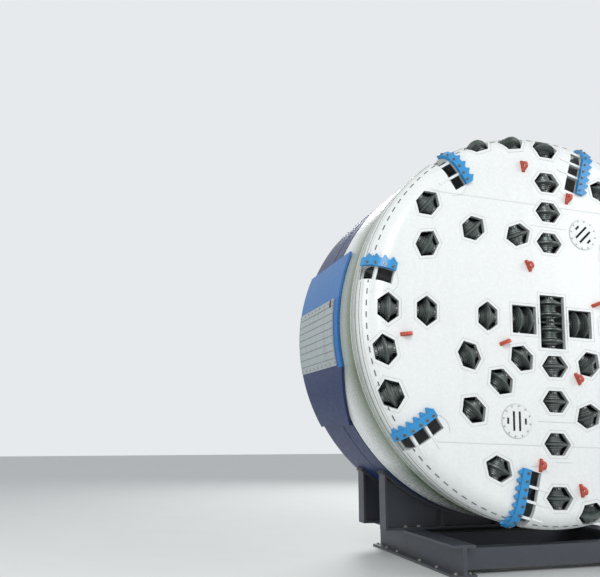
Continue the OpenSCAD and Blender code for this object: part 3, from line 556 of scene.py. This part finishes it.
# Drive
# Flanged two-stage gearboxes with electric motors behind, bolted round the bulkhead. Cast housings in
# machine paint; each motor has cooling fins, a terminal box and a pressed fan cowl with a round grille.
MOTOR_CIRCLE_R = 1.64
MOTOR_REAR = FACE_Y + 3.13
GEARBOX_FLANGE_REAR = FACE_Y + 2.36
MOTOR_ANGLES = [22.5 + 45 * i for i in range(8)]
GEARBOX_BOLT_R = 0.26
GEARBOX_BOLTS = 16
GEARBOX_BOLT_ACROSS = 0.026
MOTOR_L = 0.37
FIN_ROOT = (0.185, 0.005)
FIN_TIP = (0.205, 0.003)
FIN_END_GAP = 0.008
FINS = 32
TERMINAL_BOX_ANGLE = 24
COWL = [(0.196, -0.03), (0.203, -0.024), (0.203, 0.034), (0.196, 0.05), (0.18, 0.058), (0.15, 0.06)]
GRILLE_Y = MOTOR_REAR + 0.061
GRILLE_RADII = (0.05, 0.08, 0.11, 0.14)
GRILLE_SIDES = 40
WIRE = [(-0.005, -0.002), (0, 0.004), (0.005, -0.002)]
motor_blue = paint_finish("motor blue paint", (0.03, 0.14, 0.34, 1.0), soiling_and_shade=0.3, wear=0.3, roughness=0.36)
dress(["motors"], motor_blue)

gearbox_seats = []
for angle in MOTOR_ANGLES:
    centre = on_circle(MOTOR_CIRCLE_R, angle, GEARBOX_FLANGE_REAR)
    for i in range(GEARBOX_BOLTS):
        a = 2 * math.pi * (i + 0.5) / GEARBOX_BOLTS
        offset = Vector((math.cos(a), 0, math.sin(a))) * GEARBOX_BOLT_R
        gearbox_seats.append((centre + offset, (0, 1, 0)))
hex_bolts("gearbox_bolts", gearbox_seats, GEARBOX_BOLT_ACROSS, zinc_bolt, "shield")

verts, faces = [], []
for angle in MOTOR_ANGLES:
    centre = on_circle(MOTOR_CIRCLE_R, angle, MOTOR_REAR)
    turn = facing((0, 1, 0))
    lathe_rings(COWL, 48, verts, faces, lambda p: turn @ p + centre)
    for i in range(FINS):
        from_box = 360 * (i + 0.5) / FINS
        spoke = from_box + angle
        if abs((from_box + 180) % 360 - 180) < TERMINAL_BOX_ANGLE:
            continue
        a = math.radians(spoke)
        out, side = Vector((math.cos(a), 0, math.sin(a))), Vector((-math.sin(a), 0, math.cos(a)))
        start = len(verts)
        for y in (-MOTOR_L + FIN_END_GAP, COWL[0][1] - FIN_END_GAP):
            for r, w in (FIN_ROOT, FIN_TIP):
                for s in (-1, 1):
                    verts.append(centre + out * r + side * (w * s) + Vector((0, y, 0)))
        faces += [tuple(start + k for k in f) for f in (
            (0, 1, 3, 2), (4, 6, 7, 5), (0, 4, 5, 1), (2, 3, 7, 6), (0, 2, 6, 4), (1, 5, 7, 3))]
make_piece("motor_fins_and_cowls", verts, faces, motor_blue, "shield", smooth=True)

verts, faces = [], []
for angle in MOTOR_ANGLES:
    centre = on_circle(MOTOR_CIRCLE_R, angle, GRILLE_Y)
    for ring_r in GRILLE_RADII:
        start = len(verts)
        for i in range(GRILLE_SIDES):
            a = 2 * math.pi * i / GRILLE_SIDES
            for dr, dy in WIRE:
                verts.append(centre + Vector(((ring_r + dr) * math.cos(a), dy, (ring_r + dr) * math.sin(a))))
        for i in range(GRILLE_SIDES):
            j = (i + 1) % GRILLE_SIDES
            for k in range(3):
                m = (k + 1) % 3
                faces.append((start + 3 * i + k, start + 3 * i + m, start + 3 * j + m, start + 3 * j + k))
grille_steel = steel_finish("cowl grille wire", (0.3, 0.3, 0.3, 1.0), roughness=0.35)
make_piece("cowl_grilles", verts, faces, grille_steel, "shield")

# Thrust cylinder brackets
# Flanged tubes with ribs, fabricated and welded to the bulkhead's rear, where the cylinders bolt on.
# Blue enamel like the shield.
dress(["cylinder_brackets"], shield_blue)

# Cutterhead structure
# The rear plate, webs and rotating ring are a welded frame behind the face. It is left in its white
# primer, and little light reaches it through the openings.
primer_white = paint_finish("inner primer", (0.74, 0.76, 0.74, 1.0), soiling_and_shade=0.12, wear=0.2,
                            roughness=0.55, coat=0.0)
dress(["head_rear"], primer_white)

# Cutterhead shell
# A thick face plate with a rounded edge and a rolled flank, welded from segments and ground. Gloss white
# paint outside, with a grey-green painted reflection round the flank that is darker as painted shade in the
# gaps between the wear rings, and white primer inside; weld beads stand along the joints, a dark bead paints
# the shade in the groove near the flank, and hard facing runs along the edge.
HEAD_TURN = -2.1
FACE_R = 2.83
EDGE_R = 0.32
WALL_INSIDE = (EDGE_R - 0.045, EDGE_R - 0.052)
# Width and height of beads, and arcs round the edge in degrees.
SEAM = (0.014, 0.004)
SEAM_STEP = 0.03
WEAR_RING = (0.014, 0.005)
EDGE_RING_ARC = 68
FRONT_RING_R = FLANK_R + 0.02
FRONT_RING_Y = FACE_Y + 0.36
REAR_RING_Y = FACE_Y + 0.42
EDGE_GROOVE_ARC = 80
EDGE_GROOVE_LINE = (0.016, 0.004)
# Where the painted reflection band round the flank starts, shows as painted shade between the wear rings, is
# full and fades.
BAND_START = (FACE_Y + 0.30, FRONT_RING_Y)
BAND_START_TONE = 0.2
RING_GAP_START = (FACE_Y + 0.37, FACE_Y + 0.38)
RING_GAP_R = (FLANK_R + 0.008, FLANK_R + 0.003)
RING_GAP_TONE = 0.6
BAND_FULL = (FACE_Y + 0.65, FACE_Y + 0.68)
BAND_FADES = (FACE_Y + 1.45, FACE_Y + 0.75)
WHITE = (0.80, 0.82, 0.81, 1.0)
# Painted reflection: the grey-green that the flank band is tinted towards.
FLANK_REFLECTED_GREY = (0.085, 0.135, 0.06, 1.0)
INNER_WHITE = (0.76, 0.78, 0.76, 1.0)


def on_face(angle, x, y, lift=0.0):
    """A point in front of the face, by local x and y turned by an angle, counterclockwise from the front."""
    a = math.radians(angle + HEAD_TURN)
    across = x * math.cos(a) - y * math.sin(a)
    return Vector((across, FACE_Y - lift, AXIS_H + x * math.sin(a) + y * math.cos(a)))


def on_head(angle, x, y):
    """The point and outward direction on the face or its rounded edge, by local x and y."""
    flat = on_face(angle, x, y)
    radial = Vector((flat.x, 0, flat.z - AXIS_H))
    beyond = radial.length - FACE_R
    if beyond <= 0:
        return flat, Vector((0, -1, 0))
    radial.normalize()
    drop = math.sqrt(max(EDGE_R ** 2 - beyond ** 2, 0.0))
    out = (radial * beyond + Vector((0, -drop, 0))) / EDGE_R
    return flat + Vector((0, EDGE_R - drop, 0)), out


def on_rim(angle, arc):
    """The point and outward direction on the rounded edge: arc 0 is at the face and 90 at the flank."""
    a, bend = math.radians(angle + HEAD_TURN), math.radians(arc)
    radial = Vector((math.cos(a), 0, math.sin(a)))
    out = radial * math.sin(bend) + Vector((0, -math.cos(bend), 0))
    return radial * FACE_R + Vector((0, FACE_Y + EDGE_R, AXIS_H)) + out * EDGE_R, out


head_white = paint_finish("gloss white head paint", WHITE, undercoat=(0.30, 0.32, 0.31, 1.0),
                          unevenness=0.02, soiling_and_shade=0.13, wear=0.4, roughness=0.24, coat=0.3, bump=0.06)
tree = head_white.node_tree
place = place_sockets(tree)
above_axis = arithmetic(tree, "SUBTRACT", place["Z"], AXIS_H)
off_axis = arithmetic(tree, "SQRT", arithmetic(tree, "MULTIPLY_ADD", place["X"], place["X"],
                      arithmetic(tree, "MULTIPLY", above_axis, above_axis)))
beyond_face = arithmetic(tree, "MAXIMUM", arithmetic(tree, "SUBTRACT", off_axis, FACE_R), 0.0)
before_edge = arithmetic(tree, "MAXIMUM", arithmetic(tree, "SUBTRACT", FACE_Y + EDGE_R, place["Y"]), 0.0)
from_edge_centre = arithmetic(tree, "SQRT", arithmetic(tree, "MULTIPLY_ADD", beyond_face, beyond_face,
                              arithmetic(tree, "MULTIPLY", before_edge, before_edge)))
inside = span(tree, from_edge_centre, *WALL_INSIDE)
# Painted reflection and shade: the flank is tinted grey-green by depth, most behind the wear rings and in the
# gaps between them.
reflection_at_rings = span(tree, place["Y"], *BAND_START, to_high=BAND_START_TONE)
low_ground = span(tree, off_axis, *RING_GAP_R, to_high=RING_GAP_TONE)
shade_in_ring_gaps = arithmetic(tree, "MULTIPLY", low_ground, span(tree, place["Y"], *RING_GAP_START))
reflection_behind_rings = span(tree, place["Y"], *BAND_FULL)
fading = span(tree, place["Y"], *BAND_FADES)
reflection_band = arithmetic(tree, "MAXIMUM", reflection_at_rings, arithmetic(tree, "MAXIMUM", shade_in_ring_gaps, reflection_behind_rings))
reflection_band = arithmetic(tree, "MULTIPLY", reflection_band, fading)
flank_paint_and_reflection = mix_colour(tree, reflection_band, WHITE, FLANK_REFLECTED_GREY)
tree.links.new(flank_paint_and_reflection, tree.nodes["Group"].inputs["Paint"])
painted = tree.nodes["Group"].outputs["Colour"]
shown = mix_colour(tree, inside, painted, INNER_WHITE)
tree.links.new(shown, tree.nodes["Principled BSDF"].inputs["Base Color"])
dress(["head_shell", "bucket_bars"], head_white)

shell = surface_of("head_shell", "bucket_lips", "port_covers", "lifting_lugs")
seam_paint = paint_finish("painted weld bead", (0.66, 0.68, 0.67, 1.0), undercoat=(0.34, 0.36, 0.35, 1.0),
                          unevenness=0.05, soiling_and_shade=0.3, wear=0.5, roughness=0.34)
PLATE_JOINTS = [(-2.05, 2.05, 1.91), (-2.05, 2.05, -1.91), (-0.33, 0.33, 1.55), (-0.33, 0.33, -1.55),
                (-0.05, 0.235, -2.147)]
chords = []
for x_from, x_to, y in PLATE_JOINTS:
    chords.append([on_head(0, x, y) for x in steps(x_from, x_to, round((x_to - x_from) / SEAM_STEP))])
lay_beads("face_seams", shell, chords, *SEAM, seam_paint, "cutterhead", "white_paint")

all_round = steps(0, 360, 480)
rim_rings = [[on_rim(a, EDGE_RING_ARC) for a in all_round]]
rim_rings.append(round_path(FRONT_RING_R, FRONT_RING_Y, all_round))
rim_rings.append(round_path(FLANK_R, REAR_RING_Y, all_round))
lay_beads("rim_rings", shell, rim_rings, *WEAR_RING, seam_paint, "cutterhead", "white_paint")
# Painted shade: a dark bead round the edge near the flank stands in for the shade in the groove there.
groove_shade_bead = paint_finish("dark groove shade bead", (0.20, 0.23, 0.18, 1.0), soiling_and_shade=0.4, wear=0.3,
                          roughness=0.5, coat=0.0)
edge_groove_shade = [[on_rim(a, EDGE_GROOVE_ARC) for a in all_round]]
lay_beads("edge_groove_shade", shell, edge_groove_shade, *EDGE_GROOVE_LINE, groove_shade_bead, "cutterhead", "white_paint")

worn_bead = steel_finish("hard facing bead", (0.13, 0.14, 0.13, 1.0), oil_and_shade=(0.05, 0.055, 0.05, 1.0),
                         bright=(0.30, 0.31, 0.30, 1.0), roughness=0.5, metal=0.5)
MARKS = 110
MARK_PITCH = 3.25
MARK_HALF = 0.8
MARK_ARC = 52
HARD_MARK = (0.024, 0.006)
hard_marks = [[on_rim(MARK_PITCH * i + step, MARK_ARC) for step in steps(-MARK_HALF, MARK_HALF, 4)]
              for i in range(MARKS)]
lay_beads("hard_facing", shell, hard_marks, *HARD_MARK, worn_bead, "cutterhead", "cutter_steel")

# Cutter housings and shafts
# Pointed hexagonal boxes of thick plate, welded in behind the face, hold each cutter's fixed shaft on two
# saddles. Wedge locks with one big bolt each clamp the shaft's square ends. Oiled dark steel.
RECESS_W = 0.33
RECESS_L = 0.47
RECESS_FLAT = 0.48
TWIN_RECESS_W = 0.42
TWIN_RECESS_L = 0.44
housing_steel = steel_finish("oiled housing plate", (0.05, 0.062, 0.058, 1.0),
                             oil_and_shade=(0.015, 0.018, 0.016, 1.0), bright=(0.16, 0.18, 0.17, 1.0), edges=0.5,
                             roughness=0.42, metal=0.5)
shaft_steel = steel_finish("dark shaft steel", (0.10, 0.12, 0.11, 1.0), oil_and_shade=(0.02, 0.022, 0.02, 1.0),
                           bright=(0.35, 0.37, 0.36, 1.0), roughness=0.36, metal=0.7)
dress(["cutter_housings"], housing_steel)
dress(["cutter_shafts"], shaft_steel)
FACE_LIFT = 0.126
WEDGE_FOOT = (0.068, 0.058)
WEDGE_TOP = (0.098, 0.044)
WEDGE_PLACE = (0.022, 0.139)
TWIN_WEDGE_PLACE = (0.016, 0.178)
HOUSING_MARGIN_X = 0.042
HOUSING_MARGIN_Y = 0.052
TWIN_MARGIN = 0.04
HOUSING_WELD = (0.012, 0.003)
GAUGE_SLACK = 0.09
WEDGE_BOLT_ACROSS = 0.030


def outline_path(corners, centre, shaft, along, out):
    """Points round a straight-sided outline in a cutter's own plane, on the face."""
    path = []
    for (x0, y0), (x1, y1) in zip(corners, corners[1:] + corners[:1]):
        for step in steps(0, 1, 14):
            spot = shaft * (x0 + (x1 - x0) * step) + along * (y0 + (y1 - y0) * step)
            path.append((centre + spot + out * FACE_LIFT, out))
    return path


verts, faces, wedge_seats, flat_outlines, edge_outlines = [], [], [], [], []
for joint in frame["joints"]:
    if "cutter_" not in joint["name"]:
        continue
    twin = joint["name"].startswith("centre")
    centre, shaft = Vector(joint["pos_m"]), Vector(joint["axis"]).normalized()
    out = Vector((0, -1, 0))
    out = (out - shaft * out.dot(shaft)).normalized()
    along = shaft.cross(out)
    half_w, reach = TWIN_WEDGE_PLACE if twin else WEDGE_PLACE
    for end in (-1, 1):
        middle = centre + shaft * (end * reach)
        start = len(verts)
        for lift, spread in (WEDGE_FOOT, WEDGE_TOP):
            for a, b in ((-1, -1), (1, -1), (1, 1), (-1, 1)):
                verts.append(middle + shaft * (a * half_w) + along * (b * spread) + out * lift)
        faces += [tuple(start + k for k in f) for f in (
            (0, 3, 2, 1), (4, 5, 6, 7), (0, 1, 5, 4), (1, 2, 6, 5), (2, 3, 7, 6), (3, 0, 4, 7))]
        wedge_seats.append((middle + out * WEDGE_TOP[0], out))
    if twin:
        half_x, half_y = TWIN_RECESS_W / 2 + TWIN_MARGIN, TWIN_RECESS_L / 2 + TWIN_MARGIN
        corners = [(-half_x, -half_y), (half_x, -half_y), (half_x, half_y), (-half_x, half_y)]
    else:
        half_x, half_y = RECESS_W / 2 + HOUSING_MARGIN_X, RECESS_L / 2 + HOUSING_MARGIN_Y
        flat = half_y * RECESS_FLAT
        corners = [(half_x, flat), (0, half_y), (-half_x, flat),
                   (-half_x, -flat), (0, -half_y), (half_x, -flat)]
    path = outline_path(corners, centre, shaft, along, out)
    (edge_outlines if joint["name"].startswith("gauge") else flat_outlines).append(path)
make_piece("wedge_locks", verts, faces, shaft_steel, "cutterhead")
lay_beads("housing_welds", shell, flat_outlines, *HOUSING_WELD, seam_paint, "cutterhead", "white_paint")
lay_beads("gauge_housing_welds", shell, edge_outlines, *HOUSING_WELD, seam_paint, "cutterhead",
          "white_paint", slack=GAUGE_SLACK)
hex_bolts("wedge_bolts", wedge_seats, WEDGE_BOLT_ACROSS, grille_steel, "cutterhead",
          washer=False)

# Disc cutters
# A hardened ring shrunk on a forged hub that spins on roller bearings. Nearly black forged steel; only the
# ring's tip is rubbed bright.
cutter_steel = steel_finish("forged cutter steel", (0.075, 0.092, 0.085, 1.0),
                            oil_and_shade=(0.02, 0.024, 0.022, 1.0), bright=(0.42, 0.45, 0.44, 1.0), oil_and_shade_amount=0.5,
                            edges=0.75, roughness=0.34, metal=0.75)
FIXED = ("cutter_housings", "cutter_shafts")
dress([name for name in nodes if "cutter_" in name and name not in FIXED], cutter_steel)

# Bucket lips and bars
# Toothed bars of wear-resistant cast steel that scoop the broken rock off the rock face into the buckets.
# Each is bolted beside its opening and bends round the edge of the head. Bright azure paint.
BUCKETS = [(36, 2.54), (75, 2.26), (124, 2.56), (167, 2.74),
           (216, 2.54), (256, 2.32), (304, 2.56), (347, 2.74)]
BAR_RADII = [2.53, 2.745, 2.98]
BAR_T = 0.04
BUCKET_FROM = 0.047
BUCKET_TO = 0.267
TOOTH_PITCH = 0.12
LIP_H = 0.06
LIP_WRAP = 84
BOLT_LINE = 0.022
LIP_BOLT_ACROSS = 0.036
TAIL_SPAN = (BUCKET_TO + 0.004, BUCKET_TO + 0.2)
BAR_TAIL = (BAR_T, 0.010)
BOW_MARGIN = 0.045
BOW_RISE = 0.05
BOW_START = BUCKET_FROM + 0.03
BOW_LENGTH = 0.3
lip_blue = paint_finish("azure lip paint", (0.02, 0.27, 0.60, 1.0), undercoat=(0.10, 0.13, 0.18, 1.0),
                        soiling_and_shade=0.25, wear=0.6, roughness=0.3)
dress(["bucket_lips"], lip_blue)
lip_seats, tails, mouths = [], [], []
for angle, inner in BUCKETS:
    flat_l = FACE_R - inner
    reach = flat_l + EDGE_R * math.radians(LIP_WRAP)
    for i in range(int(reach / TOOTH_PITCH)):
        along = TOOTH_PITCH * (i + 0.5)
        bend = math.radians(max(0.0, math.degrees((along - flat_l) / EDGE_R)))
        x = FACE_R + min(0.0, along - flat_l) + (EDGE_R + LIP_H) * math.sin(bend)
        spot = on_face(angle, x, BOLT_LINE, (EDGE_R + LIP_H) * math.cos(bend) - EDGE_R)
        out = (on_face(angle, 1, 0) - on_face(angle, 0, 0)) * math.sin(bend) + Vector((0, -math.cos(bend), 0))
        lip_seats.append((spot, out))
    for r in BAR_RADII:
        if r > inner + BAR_T:
            tails.append([on_head(angle, r + BAR_T / 2, y) for y in steps(*TAIL_SPAN, 8)])
    bow = []
    for t in steps(0, 1, 16):
        bow.append((inner - BOW_MARGIN - BOW_RISE * math.sin(math.pi * t), BOW_START + BOW_LENGTH * t))
    mouths.append([on_head(angle, x, y) for x, y in bow])
bolt_dark = steel_finish("black bolt steel", (0.10, 0.10, 0.10, 1.0), oil_and_shade=(0.03, 0.03, 0.03, 1.0),
                         roughness=0.4)
hex_bolts("lip_bolts", lip_seats, LIP_BOLT_ACROSS, bolt_dark, "cutterhead")
lay_beads("bar_tails", shell, tails, *BAR_TAIL, head_white, "cutterhead", "white_paint")
lay_beads("bucket_welds", shell, mouths, *SEAM, seam_paint, "cutterhead", "white_paint")

# Port covers
# Round slotted plates over the inspection ports, held by a ring of screws. Painted with the head.
PORTS = [(67, 1.63), (246, 1.71)]
PORT_R = 0.25
PORT_SCREWS = 12
PORT_SCREW_R = 0.228
PORT_SCREW_ACROSS = 0.022
PORT_BEAD_R = PORT_R + 0.006
PORT_BEAD = (0.012, 0.006)
PORT_TOP = 0.012
port_white = paint_finish("white port paint", (0.78, 0.80, 0.79, 1.0), undercoat=(0.30, 0.32, 0.31, 1.0),
                          unevenness=0.02, soiling_and_shade=0.35, wear=0.5, roughness=0.26, coat=0.25)
dress(["port_covers"], port_white)
port_seats, port_edges = [], []
plain_face = surface_of("head_shell")
for angle, radius in PORTS:
    for i in range(PORT_SCREWS):
        a = math.radians(360 / PORT_SCREWS * (i + 0.5))
        spot = on_face(angle, radius + PORT_SCREW_R * math.cos(a), PORT_SCREW_R * math.sin(a), PORT_TOP)
        port_seats.append((spot, (0, -1, 0)))
    port_edges.append([on_head(angle, radius + PORT_BEAD_R * math.cos(a), PORT_BEAD_R * math.sin(a))
                       for a in steps(0, 2 * math.pi, 72)])
hex_bolts("port_screws", port_seats, PORT_SCREW_ACROSS, zinc_bolt, "cutterhead",
          washer=False)
lay_beads("port_edge_beads", plain_face, port_edges, *PORT_BEAD, seam_paint, "cutterhead", "white_paint")

# Lifting lugs
# Flame-cut padeyes welded on the face with fillets all round, painted red so that riggers find them.
LUGS = [(23, 0.9), (204, 0.94), (115, 0.96), (295, 0.96), (80, 2.12), (262, 2.22), (100, 2.58), (278.5, 2.58),
        (8.5, 2.52), (188.5, 2.52)]
LUG_L = 0.18
LUG_T = 0.04
FILLET_GAP = 0.004
FILLET = (0.014, 0.009)
lug_red = paint_finish("rigging red paint", (0.56, 0.07, 0.035, 1.0), undercoat=(0.25, 0.12, 0.09, 1.0),
                       soiling_and_shade=0.2, wear=0.5, roughness=0.35)
dress(["lifting_lugs"], lug_red)
fillets = []
half_l, half_t = LUG_L / 2 + FILLET_GAP, LUG_T / 2 + FILLET_GAP
corners = [(-half_l, -half_t), (half_l, -half_t), (half_l, half_t), (-half_l, half_t), (-half_l, -half_t)]
for angle, radius in LUGS:
    for (x0, y0), (x1, y1) in zip(corners, corners[1:]):
        fillets.append([on_head(angle, radius + x0 + (x1 - x0) * t, y0 + (y1 - y0) * t)
                        for t in steps(0, 1, 10)])
lay_beads("lug_fillets", plain_face, fillets, *FILLET, lug_red, "cutterhead", "lug_red")

# Floor, light and camera
# A plain pale workshop floor under a soft studio light, seen from low on the machine's left.
FLOOR_HALF = 60
floor_verts = [(x * FLOOR_HALF, y * FLOOR_HALF, 0) for x, y in ((-1, -1), (1, -1), (1, 1), (-1, 1))]
floor_mesh = bpy.data.meshes.new("floor")
floor_mesh.from_pydata(floor_verts, [], [(0, 1, 2, 3)])
floor = bpy.data.objects.new("floor", floor_mesh)
bpy.context.scene.collection.objects.link(floor)
floor_paint = bpy.data.materials.new("pale floor")
floor_paint.use_nodes = True
tree = floor_paint.node_tree
concrete = noise(tree, add_node(tree, "ShaderNodeTexCoord").outputs["Object"], 1.2, 5.0)
tone = mix_colour(tree, concrete, (0.66, 0.68, 0.67, 1.0), (0.72, 0.73, 0.72, 1.0))
tree.links.new(tone, tree.nodes["Principled BSDF"].inputs["Base Color"])
tree.nodes["Principled BSDF"].inputs["Roughness"].default_value = 0.55
floor_mesh.materials.append(floor_paint)

world = bpy.data.worlds.new("studio")
bpy.context.scene.world = world
world.use_nodes = True
tree = world.node_tree
rays = add_node(tree, "ShaderNodeLightPath").outputs
seen = arithmetic(tree, "MAXIMUM", rays["Is Camera Ray"], rays["Is Transmission Ray"])
seen = arithmetic(tree, "MAXIMUM", seen, rays["Is Glossy Ray"])
sky = mix_colour(tree, seen, (0.60, 0.63, 0.66, 1.0), (0.80, 0.82, 0.84, 1.0))
background = tree.nodes["Background"]
tree.links.new(sky, background.inputs["Color"])
tree.links.new(span(tree, seen, 0.0, 1.0, 0.8, 1.0), background.inputs["Strength"])


def soft_light(name, at, towards, size, watts):
    lamp = bpy.data.lights.new(name, "AREA")
    lamp.shape, lamp.size, lamp.energy = "DISK", size, watts
    made = bpy.data.objects.new(name, lamp)
    made.location = at
    made.rotation_euler = (Vector(towards) - Vector(at)).to_track_quat("-Z", "Y").to_euler()
    bpy.context.scene.collection.objects.link(made)


soft_light("key", at=(-6.0, -17.0, 11.0), towards=(0.0, -1.5, 3.6), size=10.0, watts=1540)
soft_light("side", at=(-15.0, -1.0, 7.0), towards=(-1.0, 0.0, 3.4), size=8.0, watts=380)
soft_light("fill", at=(11.0, -10.0, 8.0), towards=(0.5, -1.0, 3.5), size=9.0, watts=500)
soft_light("rear", at=(5.0, 14.0, 11.0), towards=(0.0, 0.5, 3.5), size=9.0, watts=1300)

EYE_AT = (-6.774, -11.044, 2.026)
EYE_RAISED = 11.74
EYE_TURNED = -15.70
camera = bpy.data.cameras.new("camera")
camera.lens = 42.0
camera.sensor_width = 36.0
camera.sensor_fit = "HORIZONTAL"
camera.clip_end = 300.0
eye = bpy.data.objects.new("camera", camera)
eye.location = EYE_AT
eye.rotation_euler = (math.radians(90 + EYE_RAISED), 0.0, math.radians(EYE_TURNED))
bpy.context.scene.collection.objects.link(eye)
bpy.context.scene.camera = eye
bpy.context.scene.view_settings.view_transform = "Standard"
